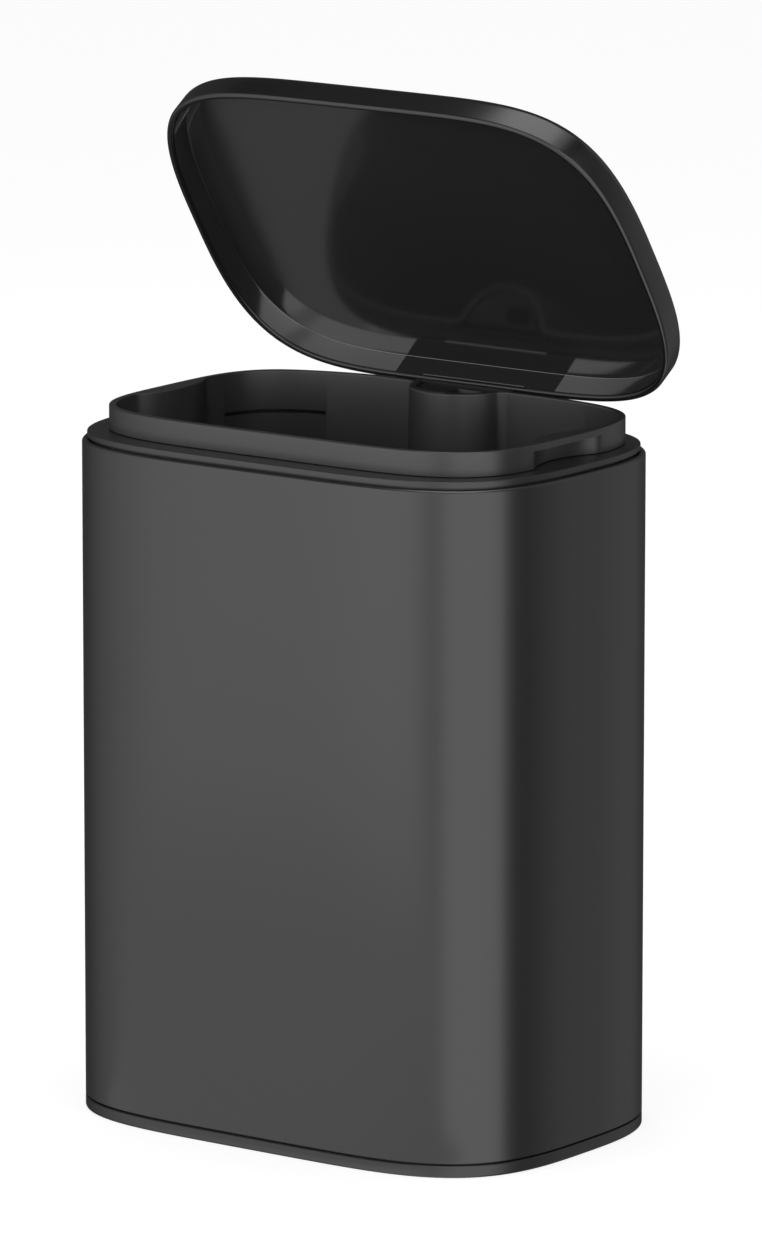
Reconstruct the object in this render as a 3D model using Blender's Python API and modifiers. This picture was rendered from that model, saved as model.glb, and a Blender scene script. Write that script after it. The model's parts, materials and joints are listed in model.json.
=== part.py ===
"""Wall-mounted waste bin of about three litres, modelled with its lid open.

Sizes are in metres. Pieces are laid out about the centre of the underside, with the front
towards -Y and the wall towards +Y, and the whole bin is then moved so that the middle of the
wall plate's back face lies at the origin. The lid's pieces are laid out closed and hang from
an empty on the hinge axis, which turns them open.
"""

import math

import bmesh
import bpy
from mathutils import Matrix, Vector

# Clearances
FIT_GAP = 0.0003
OVERRUN = 0.004

# Faces round a full circle
ROUND_SIDES = 24
HOLE_SIDES = 16
SCREW_SIDES = 10

# Casing
BODY_WIDTH = 0.180
BODY_DEPTH = 0.1235
BODY_SIDE_POWER = 4.55
BODY_FRONT_POWER = 3.07
OUTLINE_POINTS = 56

SLEEVE_HEIGHT = 0.2202
SLEEVE_SHEET = 0.0006
HEM_RADIUS = 0.0012
SLEEVE_HEM_RETURN = 0.0030

# Base
PLINTH_HEIGHT = 0.0041
PLINTH_ROUND = 0.0008
GROOVE_HEIGHT = 0.0008
GROOVE_DEPTH = 0.0020
FOOT_WIDTH = 0.0070
FOOT_RECESS = 0.0016
BASE_FLOOR = 0.0022
SPIGOT_HEIGHT = 0.0180
SPIGOT_WALL = 0.0018
BASE_RIB_WIDTH = 0.0020

# Top ring
RING_REVEAL = 0.0008
RING_LIP_INSET = 0.0017
RING_THICKNESS = 0.0018
RING_ROUND = 0.0003
RING_SKIRT_DEPTH = 0.0140
RING_SKIRT_WALL = 0.0014

# Inner bucket
SHOULDER_SIDES = 0.00825
SHOULDER_FRONT = 0.01015
SHOULDER_BACK = 0.00635
BUCKET_SIDE_POWER = 4.12
BUCKET_FRONT_POWER = 3.44
COLLAR_HEIGHT = 0.0082
COLLAR_WALL = 0.0024
BUCKET_SEAT = 0.0012
BUCKET_WALL = 0.0013
BUCKET_DRAFT = 0.0025
BUCKET_FLOOR_ROUND = 0.0090
BUCKET_FLOOR_RISE = 0.0030
COLUMN_RADIUS = 0.0175
COLUMN_SETBACK = 0.0020
COLUMN_FILLET = 0.0035
COLUMN_POINTS = 12
COLUMN_TAB_HEIGHT = 0.0010
COLUMN_TAB_SHARES = (0.28, 0.60)
GRIP_WIDTH = 0.0385
GRIP_DEPTH = 0.00575
GRIP_BAND = 0.0021
GRIP_EASE = 0.0003
GRIP_POINTS = 7
SLIT_DROP = 0.0137
SLIT_HEIGHT = 0.0012
SLIT_SIDE_SHARE = 0.47
SLIT_BACK_SHARE = 0.62

# Lid
LID_OVERHANG = 0.0008
LID_SIDE_POWER = 5.15
LID_FRONT_POWER = 3.0
LID_EDGE_HEIGHT = 0.0112
LID_EDGE_RADIUS = 0.0035
LID_CROWN = 0.0024
LID_SHEET = 0.0006
LID_HEM_RETURN = 0.0008
LINER_WALL = 0.0010
LINER_RIM_RISE = 0.0008
LINER_DEPTH = 0.0070
LINER_DRAFT = 0.0009
LINER_CROWN = 0.0022
CROWN_RING_SHARES = (1.0, 0.7, 0.3)
LID_OPEN_ANGLE = math.radians(56.37)

# Hinge
HINGE_BEHIND_SLEEVE = 0.0051
HINGE_ABOVE_RING = 0.0030
PIN_RADIUS = 0.00105
BUSH_WALL = 0.0007
BUSH_FLANGE = 0.0006
BARREL_WALL = 0.0009
BARREL_LENGTH = 0.0170
LEAF_WIDTH = 0.0400
LEAF_THICKNESS = 0.0011
LEAF_HEIGHT = 0.0066
LEAF_RISE = 0.0006
TONGUE_WIDTH = 0.0380
TONGUE_THICKNESS = 0.0012
TONGUE_RISE = 0.0026
TONGUE_NIB = 0.0005
WEB_THICKNESS = 0.0036
TAIL_LENGTH = 0.0062
TAIL_WIDTH = 0.0080
TAIL_THICKNESS = 0.0020
STOP_WIDTH = 0.0100
STOP_HEIGHT = 0.0110
HINGE_BASE_DROP = 0.0340
CLIP_THICKNESS = 0.0008
CLIP_WIDTH = 0.0010
CLIP_OPENING = 0.0009
CLIP_POINTS = 12
PIN_TAIL = 0.0008

# Mounting
STANDOFF = 0.0163
HANGER_WIDTH = 0.0520
HANGER_HEIGHT = 0.0600
HANGER_BOTTOM = 0.1280
HANGER_ROUND = 0.0012
PLATE_WIDTH = 0.0600
PLATE_HEIGHT = 0.0720
PLATE_THICKNESS = 0.0032
PLATE_CORNER = 0.0060
PLATE_BOTTOM = 0.1220
PLATE_HOLE_RADIUS = 0.0024
PLATE_HOLE_INSET = 0.0090
TONGUE_HEAD_WIDTH = 0.0260
TONGUE_HEAD_THICKNESS = 0.0034
TONGUE_NECK_WIDTH = 0.0160
TONGUE_NECK_LENGTH = 0.0036
HANGING_TONGUE_HEIGHT = 0.0400
HANGING_TONGUE_RISE = 0.0080
PILLAR_CLEARANCE = 0.0008
PILLAR_FLANGE_WIDTH = 0.0480
PILLAR_FLANGE_THICKNESS = 0.0025
PILLAR_BOTTOM = 0.1300
PILLAR_POCKET_WIDTH = 0.0095
PILLAR_POCKET_DEPTH = 0.0200
PILLAR_POCKET_WALL = 0.0020
PILLAR_RING_GAP = 0.0006

# Screws
SCREW_RADIUS = 0.0015
SCREW_HEAD_RADIUS = 0.0028
SCREW_HEAD_HEIGHT = 0.0020
SCREW_SOCKET_RADIUS = 0.0013
SCREW_SOCKET_DEPTH = 0.0012
SCREW_SPREAD = 0.0200
HINGE_SCREW_SPREAD = 0.0110
HINGE_SCREW_DROP = 0.0270
HANGER_SCREW_INSET = 0.0090
SCREW_BITE = 0.0020

# Levels and places worked out from the sizes above
HALF_DEPTH = BODY_DEPTH / 2
SLEEVE_BOTTOM = PLINTH_HEIGHT + GROOVE_HEIGHT
SLEEVE_TOP = SLEEVE_BOTTOM + SLEEVE_HEIGHT
HEM_WIDTH = 2 * HEM_RADIUS
RING_BOTTOM = SLEEVE_TOP + RING_REVEAL
RING_TOP = RING_BOTTOM + RING_THICKNESS
COLLAR_TOP = RING_TOP + COLLAR_HEIGHT
COLLAR_FOOT = RING_TOP + FIT_GAP
BUCKET_WIDTH = BODY_WIDTH - 2 * SHOULDER_SIDES
BUCKET_DEPTH = BODY_DEPTH - SHOULDER_FRONT - SHOULDER_BACK
BUCKET_BACK_SHIFT = (SHOULDER_FRONT - SHOULDER_BACK) / 2
BUCKET_INNER_BACK = BUCKET_BACK_SHIFT + BUCKET_DEPTH / 2 - COLLAR_WALL
COLUMN_CENTRE_Y = BUCKET_INNER_BACK + COLUMN_SETBACK
LID_WIDTH = BODY_WIDTH + 2 * LID_OVERHANG
LINER_RIM_INSET = HEM_WIDTH + FIT_GAP + LINER_WALL
LINER_CREASE_INSET = LINER_RIM_INSET + LINER_DRAFT
COLLAR_SHARE = (BUCKET_BACK_SHIFT + BUCKET_DEPTH / 2) / (HALF_DEPTH - LINER_CREASE_INSET)
ROOF_AT_COLLAR = LINER_DEPTH + LINER_CROWN * (1 + CROWN_RING_SHARES[1]) * (1 - COLLAR_SHARE)
LID_RIM = COLLAR_TOP + FIT_GAP - ROOF_AT_COLLAR
HINGE_AXIS = Vector((0, HALF_DEPTH + HINGE_BEHIND_SLEEVE, RING_TOP + HINGE_ABOVE_RING))
BUSH_BORE = PIN_RADIUS + FIT_GAP
BUSH_RADIUS = BUSH_BORE + BUSH_WALL
BARREL_BORE = BUSH_RADIUS + FIT_GAP
BARREL_RADIUS = BARREL_BORE + BARREL_WALL
LUG_START = BARREL_LENGTH / 2 + BUSH_FLANGE + 2 * FIT_GAP
OUTER_BACK = HALF_DEPTH + FIT_GAP
WALL_Y = HALF_DEPTH + STANDOFF
PLATE_FRONT = WALL_Y - PLATE_THICKNESS
HANGER_BACK = PLATE_FRONT - FIT_GAP
HANGER_TOP = HANGER_BOTTOM + HANGER_HEIGHT
TONGUE_BOTTOM = PLATE_BOTTOM + HANGING_TONGUE_RISE
TONGUE_TOP = TONGUE_BOTTOM + HANGING_TONGUE_HEIGHT
TONGUE_HEAD_BACK = PLATE_FRONT - TONGUE_NECK_LENGTH
TONGUE_HEAD_FRONT = TONGUE_HEAD_BACK - TONGUE_HEAD_THICKNESS
PILLAR_FLANGE_TOP = RING_BOTTOM - RING_SKIRT_DEPTH - PILLAR_RING_GAP
PILLAR_BACK = HALF_DEPTH - SLEEVE_SHEET - FIT_GAP
PILLAR_RADIUS = COLUMN_RADIUS - COLLAR_WALL - PILLAR_CLEARANCE
WALL_FACE = Vector((0, WALL_Y, PLATE_BOTTOM + PLATE_HEIGHT / 2))

# Cutters that turn with the lid
LID_CUTTER_NAMES = ("leaf_", "tongue_slot", "hinge_bush")

parts = None
cutters = None


def clear_scene():
    for obj in list(bpy.data.objects):
        bpy.data.objects.remove(obj, do_unlink=True)


def make_collection(name):
    collection = bpy.data.collections.new(name)
    bpy.context.scene.collection.children.link(collection)
    return collection


def make_material(name, colour, roughness, metallic):
    material = bpy.data.materials.new(name)
    material.use_nodes = True
    shader = material.node_tree.nodes["Principled BSDF"]
    shader.inputs["Base Color"].default_value = (*colour, 1)
    shader.inputs["Roughness"].default_value = roughness
    shader.inputs["Metallic"].default_value = metallic
    return material


# Outlines

def superellipse(width, depth, side_power, front_power, back_shift=0):
    """Outline anticlockwise from +X, symmetric about both axes before its shift."""
    outline = []
    for index in range(OUTLINE_POINTS):
        turn = 2 * math.pi * index / OUTLINE_POINTS
        across = math.copysign(abs(math.cos(turn)) ** (2 / side_power), math.cos(turn))
        along = math.copysign(abs(math.sin(turn)) ** (2 / front_power), math.sin(turn))
        outline.append(Vector((across * width / 2, along * depth / 2 + back_shift)))
    return outline


def inset(outline, distance):
    """The outline moved inwards by a distance along its own normals."""
    moved = []
    count = len(outline)
    for index, point in enumerate(outline):
        before = (point - outline[index - 1]).normalized()
        after = (outline[(index + 1) % count] - point).normalized()
        inward = Vector((-before.y - after.y, before.x + after.x))
        stretch = 2 / inward.length_squared
        moved.append(point + inward * stretch * distance)
    return moved


def body_outline():
    return superellipse(BODY_WIDTH, BODY_DEPTH, BODY_SIDE_POWER, BODY_FRONT_POWER)


def lid_outline():
    return superellipse(LID_WIDTH, BODY_DEPTH, LID_SIDE_POWER, LID_FRONT_POWER)


def collar_outline():
    """The collar's outer face, without the column."""
    return superellipse(
        BUCKET_WIDTH, BUCKET_DEPTH, BUCKET_SIDE_POWER, BUCKET_FRONT_POWER, BUCKET_BACK_SHIFT
    )


def side_reach(outline, side, place):
    """How far the outline reaches to one side, at a place along Y."""
    for index, point in enumerate(outline):
        before = outline[index - 1]
        low, high = sorted((point.y, before.y))
        if side * point.x > 0 and side * before.x > 0 and low <= place < high:
            share = (place - before.y) / (point.y - before.y)
            return side * (before.x + (point.x - before.x) * share)
    return side * outline[0].x


def gripped(outline, depth):
    """The outline with a finger grip scooped into each side, or plain if the depth is zero."""
    half = GRIP_WIDTH / 2
    radius = (half**2 + GRIP_DEPTH**2) / (2 * GRIP_DEPTH)
    sides = {}
    for side in (-1, 1):
        sides[side] = []
        for step in range(GRIP_POINTS + 1):
            place = side * half * (2 * step / GRIP_POINTS - 1)
            arch = math.sqrt(radius**2 - place**2) - math.sqrt(radius**2 - half**2)
            reach = side_reach(outline, side, place) - arch * depth / GRIP_DEPTH
            sides[side].append(Vector((side * reach, place)))
    behind = [point for point in outline if point.y > half]
    before = [point for point in outline if point.y < -half]
    return behind + sides[-1] + before + sides[1]


def bucket_outline(grip_depth):
    """The bucket's inner face at the rim, bent inwards round the column at the back."""
    reach = COLUMN_RADIUS + COLUMN_FILLET
    drop = COLUMN_FILLET + COLUMN_SETBACK
    foot = math.sqrt(reach**2 - drop**2)
    lean = math.atan2(drop, foot)
    wall = [
        point
        for point in gripped(inset(collar_outline(), COLLAR_WALL), grip_depth)
        if point.y < BUCKET_BACK_SHIFT or abs(point.x) > foot + COLUMN_FILLET
    ]
    split = next(i for i, p in enumerate(wall) if p.x < 0 and p.y > BUCKET_BACK_SHIFT)
    fillet_y = BUCKET_INNER_BACK - COLUMN_FILLET
    column = []
    steps = COLUMN_POINTS // 6
    for step in range(steps + 1):
        turn = math.pi / 2 - (math.pi / 2 - lean) * step / steps
        column.append(
            Vector((foot - COLUMN_FILLET * math.cos(turn), fillet_y + COLUMN_FILLET * math.sin(turn)))
        )
    for step in range(1, COLUMN_POINTS):
        turn = -lean - (math.pi - 2 * lean) * step / COLUMN_POINTS
        column.append(
            Vector((COLUMN_RADIUS * math.cos(turn), COLUMN_CENTRE_Y + COLUMN_RADIUS * math.sin(turn)))
        )
    for step in range(steps + 1):
        turn = lean + (math.pi / 2 - lean) * step / steps
        column.append(
            Vector((COLUMN_FILLET * math.cos(turn) - foot, fillet_y + COLUMN_FILLET * math.sin(turn)))
        )
    return wall[:split] + column + wall[split:]


def level(outline, height):
    return [Vector((point.x, point.y, height)) for point in outline]


def arc(centre_inset, centre_height, radius, start, end, steps):
    """Pairs of inset and height along an arc of a wall's section, angles in degrees."""
    pairs = []
    for step in range(steps + 1):
        turn = math.radians(start + (end - start) * step / steps)
        pairs.append(
            (centre_inset + radius * math.cos(turn), centre_height + radius * math.sin(turn))
        )
    return pairs


def sweep(outline, section):
    """Rings of points: the outline inset and raised to each pair of the section."""
    return [level(inset(outline, distance), height) for distance, height in section]


def crowned(ring, rise, centre):
    """Rings that close a dished roof over its edge ring, ending near the middle."""
    rings = []
    for share in CROWN_RING_SHARES[1:]:
        lift = rise * (1 - share**2)
        rings.append(
            [Vector((p.x * share, centre + (p.y - centre) * share, p.z + lift)) for p in ring]
        )
    return rings


# Solids

def add_object(name, mesh, material, collection=None):
    obj = bpy.data.objects.new(name, mesh)
    obj.data.materials.append(material)
    (collection or parts).objects.link(obj)
    if collection is cutters:
        obj.hide_render = True
        obj.display_type = "WIRE"
    return obj


def mesh_from(name, bm):
    bmesh.ops.recalc_face_normals(bm, faces=bm.faces)
    mesh = bpy.data.meshes.new(name)
    bm.to_mesh(mesh)
    bm.free()
    return mesh


def loft(name, rings, material, closed_section):
    """A skin through rings of equal count: a closed tube section, or a shell with end faces."""
    bm = bmesh.new()
    rows = [[bm.verts.new(point) for point in ring] for ring in rings]
    count = len(rows[0])
    pairs = list(zip(rows, rows[1:]))
    if closed_section:
        pairs.append((rows[-1], rows[0]))
    for lower, upper in pairs:
        for index in range(count):
            after = (index + 1) % count
            bm.faces.new((lower[index], lower[after], upper[after], upper[index]))
    if not closed_section:
        bm.faces.new(rows[0])
        bm.faces.new(rows[-1])
    mesh = mesh_from(name, bm)
    mesh.shade_smooth()
    mesh.set_sharp_from_angle(angle=math.radians(35))
    return add_object(name, mesh, material)


def block(name, low, high, material, collection=None):
    """A box between two opposite corners."""
    low = Vector(low)
    high = Vector(high)
    bm = bmesh.new()
    bmesh.ops.create_cube(bm, size=1)
    bmesh.ops.scale(bm, vec=high - low, verts=bm.verts)
    bmesh.ops.translate(bm, vec=(high + low) / 2, verts=bm.verts)
    return add_object(name, mesh_from(name, bm), material, collection)


def rod(name, start, end, radius, material, collection=None, sides=ROUND_SIDES):
    """A round bar between two points."""
    start = Vector(start)
    run = Vector(end) - start
    bm = bmesh.new()
    bmesh.ops.create_cone(
        bm, cap_ends=True, segments=sides, radius1=radius, radius2=radius, depth=run.length
    )
    turn = run.to_track_quat("Z", "Y").to_matrix().to_4x4()
    bmesh.ops.transform(bm, matrix=Matrix.Translation(start + run / 2) @ turn, verts=bm.verts)
    mesh = mesh_from(name, bm)
    mesh.shade_smooth()
    mesh.set_sharp_from_angle(angle=math.radians(35))
    return add_object(name, mesh, material, collection)


def slab(name, outline, start, end, across, material, collection=None):
    """An outline extruded from start to end, along X or along Z."""
    bm = bmesh.new()
    if across == "X":
        points = [Vector((start, p[0], p[1])) for p in outline]
        run = Vector((end - start, 0, 0))
    else:
        points = [Vector((p[0], p[1], start)) for p in outline]
        run = Vector((0, 0, end - start))
    face = bm.faces.new([bm.verts.new(point) for point in points])
    grown = bmesh.ops.extrude_face_region(bm, geom=[face])
    moved = [item for item in grown["geom"] if isinstance(item, bmesh.types.BMVert)]
    bmesh.ops.translate(bm, vec=run, verts=moved)
    return add_object(name, mesh_from(name, bm), material, collection)


def combine(target, other, operation):
    modifier = target.modifiers.new(operation.lower() + "_" + other.name, "BOOLEAN")
    modifier.operation = operation
    modifier.object = other
    modifier.solver = "EXACT"


def bevel(target, width, segments=2):
    modifier = target.modifiers.new("edge", "BEVEL")
    modifier.width = width
    modifier.segments = segments
    modifier.limit_method = "ANGLE"
    modifier.angle_limit = math.radians(40)


# Casing pieces

def build_sleeve(material):
    """Bent sheet with its top edge rolled inwards."""
    roll = HEM_RADIUS - SLEEVE_SHEET
    centre = SLEEVE_TOP - HEM_RADIUS
    section = [(0, SLEEVE_BOTTOM)]
    section += arc(HEM_RADIUS, centre, HEM_RADIUS, 180, 0, 4)
    section.append((HEM_WIDTH, centre - SLEEVE_HEM_RETURN))
    section.append((HEM_WIDTH - SLEEVE_SHEET, centre - SLEEVE_HEM_RETURN))
    section += arc(HEM_RADIUS, centre, roll, 0, 180, 2)
    section.append((SLEEVE_SHEET, SLEEVE_BOTTOM))
    return loft("body_sleeve", sweep(body_outline(), section), material, True)


def build_base(material):
    """Plinth, shadow groove, spigot inside the sleeve and a floor on a foot rim."""
    spigot_face = SLEEVE_SHEET + FIT_GAP
    spigot_inside = spigot_face + SPIGOT_WALL
    spigot_top = SLEEVE_BOTTOM + SPIGOT_HEIGHT
    floor_top = FOOT_RECESS + BASE_FLOOR
    section = [
        (FOOT_WIDTH, FOOT_RECESS),
        (FOOT_WIDTH, 0),
        (PLINTH_ROUND, 0),
        (0, PLINTH_ROUND),
        (0, PLINTH_HEIGHT),
        (GROOVE_DEPTH, PLINTH_HEIGHT),
        (GROOVE_DEPTH, SLEEVE_BOTTOM),
        (spigot_face, SLEEVE_BOTTOM + GROOVE_HEIGHT),
        (spigot_face, spigot_top - SPIGOT_WALL / 2),
        (spigot_face + SPIGOT_WALL / 2, spigot_top),
        (spigot_inside, spigot_top),
        (spigot_inside + SPIGOT_WALL / 2, floor_top),
    ]
    base = loft("base_moulding", sweep(body_outline(), section), material, False)
    long_reach = BODY_WIDTH / 2 - FOOT_WIDTH
    short_reach = HALF_DEPTH - FOOT_WIDTH
    overlap = FOOT_RECESS + BASE_FLOOR / 2
    for index, place in enumerate((-long_reach / 2, 0, long_reach / 2)):
        rib = block(
            f"base_rib_{index}",
            (place - BASE_RIB_WIDTH / 2, -short_reach, 0),
            (place + BASE_RIB_WIDTH / 2, short_reach, overlap),
            material,
            cutters,
        )
        combine(base, rib, "UNION")
    cross = block(
        "base_rib_cross",
        (-long_reach, -BASE_RIB_WIDTH / 2, 0),
        (long_reach, BASE_RIB_WIDTH / 2, overlap),
        material,
        cutters,
    )
    combine(base, cross, "UNION")
    return base


def build_ring(material):
    """Shoulder that closes the top of the sleeve and carries the bucket's collar."""
    lip = inset(body_outline(), RING_LIP_INSET)
    softened = inset(body_outline(), RING_LIP_INSET + RING_ROUND)
    seat = inset(collar_outline(), BUCKET_SEAT + GRIP_DEPTH)
    skirt_face = HEM_WIDTH + FIT_GAP
    skirt = inset(body_outline(), skirt_face)
    skirt_inside = inset(body_outline(), skirt_face + RING_SKIRT_WALL)
    skirt_end = RING_BOTTOM - RING_SKIRT_DEPTH
    rings = [
        level(lip, RING_BOTTOM),
        level(lip, RING_TOP - RING_ROUND),
        level(softened, RING_TOP),
        level(seat, RING_TOP),
        level(seat, RING_BOTTOM),
        level(skirt_inside, RING_BOTTOM),
        level(skirt_inside, skirt_end),
        level(skirt, skirt_end),
        level(skirt, RING_BOTTOM),
    ]
    ring = loft("top_ring", rings, material, True)
    opening = inset(
        gripped(inset(collar_outline(), COLLAR_WALL), GRIP_DEPTH),
        BUCKET_SEAT - COLLAR_WALL - FIT_GAP,
    )
    hole = slab(
        "ring_opening",
        opening,
        RING_BOTTOM - OVERRUN,
        RING_TOP + OVERRUN,
        "Z",
        material,
        cutters,
    )
    combine(ring, hole, "DIFFERENCE")
    return ring


def build_column_tab(material):
    """Low tab on the left half of the column's rim, between two shares of its half turn."""
    outer = COLUMN_RADIUS - FIT_GAP
    inner = COLUMN_RADIUS - COLLAR_WALL + FIT_GAP
    first, last = COLUMN_TAB_SHARES
    outline = []
    for radius, order in ((outer, 1), (inner, -1)):
        for step in range(COLUMN_POINTS // 2 + 1)[::order]:
            turn = math.pi * (1 + first + (last - first) * step * 2 / COLUMN_POINTS)
            outline.append((radius * math.cos(turn), COLUMN_CENTRE_Y + radius * math.sin(turn)))
    low = COLLAR_TOP - COLLAR_WALL
    high = COLLAR_TOP + COLUMN_TAB_HEIGHT
    return slab("column_tab", outline, low, high, "Z", material, cutters)


def build_bucket(material):
    """Moulded bucket hanging by its collar, with a hollow column and two finger grips."""
    outline = bucket_outline(GRIP_DEPTH)
    band = bucket_outline(0)
    seat_wall = COLLAR_WALL - BUCKET_SEAT
    floor_under = FOOT_RECESS + BASE_FLOOR + BUCKET_FLOOR_RISE
    floor_over = floor_under + BUCKET_WALL
    deep = BUCKET_DRAFT
    edge = BUCKET_WALL / 4
    bend = BUCKET_FLOOR_ROUND
    inner_bend = bend - BUCKET_WALL
    section = arc(deep - BUCKET_WALL + bend, floor_under + bend, bend, 270, 180, 3)
    section += [
        (-seat_wall, COLLAR_FOOT),
        (-COLLAR_WALL, COLLAR_FOOT),
        (-COLLAR_WALL, COLLAR_TOP - GRIP_BAND - GRIP_EASE),
    ]
    band_section = [
        (-COLLAR_WALL, COLLAR_TOP - GRIP_BAND),
        (-COLLAR_WALL, COLLAR_TOP - edge),
        (edge - COLLAR_WALL, COLLAR_TOP),
    ]
    inner_section = [(-edge, COLLAR_TOP), (0, COLLAR_TOP - edge)]
    inner_section += arc(deep + inner_bend, floor_over + inner_bend, inner_bend, 180, 270, 3)
    rings = sweep(outline, section) + sweep(band, band_section) + sweep(outline, inner_section)
    bucket = loft("inner_bucket", rings, material, False)
    combine(bucket, build_column_tab(material), "UNION")
    slit_low = COLLAR_TOP - SLIT_DROP - SLIT_HEIGHT / 2
    side_point = Vector((BUCKET_WIDTH / 2, BUCKET_DEPTH / 2 * SLIT_SIDE_SHARE))
    back_point = Vector((BUCKET_WIDTH / 2 * SLIT_BACK_SHARE, BUCKET_DEPTH / 2))
    corner = Vector((side_point.x, back_point.y)) + Vector((OVERRUN, OVERRUN))
    for side, name in ((-1, "left"), (1, "right")):
        chord = [
            (side * side_point.x + side * OVERRUN, side_point.y),
            (side * side_point.x - side * COLLAR_WALL, side_point.y),
            (side * back_point.x, back_point.y - COLLAR_WALL),
            (side * back_point.x, corner.y + BUCKET_BACK_SHIFT),
            (side * corner.x, corner.y + BUCKET_BACK_SHIFT),
        ]
        slit = slab(f"slit_{name}", chord, slit_low, slit_low + SLIT_HEIGHT, "Z", material, cutters)
        combine(bucket, slit, "DIFFERENCE")
    return bucket


# Lid pieces, laid out closed

def build_lid_shell(material):
    """Outer skin of the lid with its rim rolled inwards."""
    roll = HEM_RADIUS - LID_SHEET
    centre = LID_RIM + HEM_RADIUS
    edge = LID_RIM + LID_EDGE_HEIGHT - LID_EDGE_RADIUS
    inner_edge = LID_EDGE_RADIUS - LID_SHEET
    outer = arc(LID_EDGE_RADIUS, edge, LID_EDGE_RADIUS, 90, 180, 3)
    outer += arc(HEM_RADIUS, centre, HEM_RADIUS, 180, 360, 4)
    outer.append((HEM_WIDTH, centre + LID_HEM_RETURN))
    outer.append((HEM_WIDTH - LID_SHEET, centre + LID_HEM_RETURN))
    inner = arc(HEM_RADIUS, centre, roll, 360, 180, 2)
    inner += arc(LID_EDGE_RADIUS, edge, inner_edge, 180, 90, 2)
    skirt = sweep(lid_outline(), outer + inner)
    outer_roof = crowned(skirt[0], LID_CROWN, 0)
    inner_roof = crowned(skirt[-1], LID_CROWN, 0)
    return loft("lid_shell", outer_roof[::-1] + skirt + inner_roof, material, False)


def build_lid_liner(material):
    """Moulded dish inside the lid, clipped into the rolled rim."""
    roof = LID_RIM + LINER_DEPTH
    inner_face = [
        (LINER_CREASE_INSET, roof),
        (LINER_RIM_INSET, LID_RIM + LINER_RIM_RISE),
    ]
    outer_face = [
        (LINER_RIM_INSET - LINER_WALL, LID_RIM + LINER_RIM_RISE),
        (LINER_CREASE_INSET - LINER_WALL, roof + LINER_WALL / 2),
        (LINER_CREASE_INSET - LINER_WALL / 2, roof + LINER_WALL),
    ]
    skirt = sweep(lid_outline(), inner_face + outer_face)
    inner_roof = crowned(skirt[0], LINER_CROWN, 0)
    outer_roof = crowned(skirt[-1], LINER_CROWN, 0)
    return loft("lid_liner", inner_roof[::-1] + skirt + outer_roof, material, False)


def build_leaf(material):
    """Leaf against the lid's back, its tongue through the lid's wall, its barrel and tail."""
    low = LID_RIM + LEAF_RISE
    leaf = block(
        "hinge_leaf",
        (-LEAF_WIDTH / 2, OUTER_BACK, low),
        (LEAF_WIDTH / 2, OUTER_BACK + LEAF_THICKNESS, low + LEAF_HEIGHT),
        material,
    )
    bevel(leaf, LEAF_THICKNESS / 4, 1)
    tongue_low = LID_RIM + TONGUE_RISE
    tongue_end = HALF_DEPTH - LINER_CREASE_INSET - TONGUE_NIB
    tongue = block(
        "leaf_tongue",
        (-TONGUE_WIDTH / 2, tongue_end, tongue_low),
        (TONGUE_WIDTH / 2, OUTER_BACK + LEAF_THICKNESS / 2, tongue_low + TONGUE_THICKNESS),
        material,
        cutters,
    )
    combine(leaf, tongue, "UNION")
    web = block(
        "leaf_web",
        (-BARREL_LENGTH / 2, OUTER_BACK + LEAF_THICKNESS / 2, HINGE_AXIS.z - WEB_THICKNESS / 2),
        (BARREL_LENGTH / 2, HINGE_AXIS.y, HINGE_AXIS.z + WEB_THICKNESS / 2),
        material,
        cutters,
    )
    combine(leaf, web, "UNION")
    barrel = rod(
        "leaf_barrel",
        HINGE_AXIS - Vector((BARREL_LENGTH / 2, 0, 0)),
        HINGE_AXIS + Vector((BARREL_LENGTH / 2, 0, 0)),
        BARREL_RADIUS,
        material,
        cutters,
    )
    combine(leaf, barrel, "UNION")
    tail = block(
        "leaf_tail",
        (-TAIL_WIDTH / 2, BARREL_BORE, -TAIL_THICKNESS / 2),
        (TAIL_WIDTH / 2, TAIL_LENGTH, TAIL_THICKNESS / 2),
        material,
        cutters,
    )
    turn = Matrix.Rotation(LID_OPEN_ANGLE, 4, "X")
    tail.data.transform(Matrix.Translation(HINGE_AXIS) @ turn)
    combine(leaf, tail, "UNION")
    bore = rod(
        "leaf_bore",
        HINGE_AXIS - Vector((BARREL_LENGTH, 0, 0)),
        HINGE_AXIS + Vector((BARREL_LENGTH, 0, 0)),
        BARREL_BORE,
        material,
        cutters,
    )
    combine(leaf, bore, "DIFFERENCE")
    return leaf


def cut_tongue_slots(shell, liner, material):
    """One slot through the lid's two walls lets the leaf's tongue in."""
    low = LID_RIM + TONGUE_RISE - FIT_GAP
    slot = block(
        "tongue_slot",
        (-TONGUE_WIDTH / 2 - FIT_GAP, HALF_DEPTH - LINER_CREASE_INSET - OVERRUN, low),
        (TONGUE_WIDTH / 2 + FIT_GAP, HALF_DEPTH + OVERRUN, low + TONGUE_THICKNESS + 2 * FIT_GAP),
        material,
        cutters,
    )
    combine(shell, slot, "DIFFERENCE")
    combine(liner, slot, "DIFFERENCE")


# Hinge pieces on the casing

def screw_places(spread, heights):
    return [(side * spread, height) for height in heights for side in (-1, 1)]


def hinge_screw_places():
    return screw_places(HINGE_SCREW_SPREAD, [HINGE_AXIS.z - HINGE_SCREW_DROP])


def hanger_screw_places():
    return screw_places(
        SCREW_SPREAD, [HANGER_BOTTOM + HANGER_SCREW_INSET, HANGER_TOP - HANGER_SCREW_INSET]
    )


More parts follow.
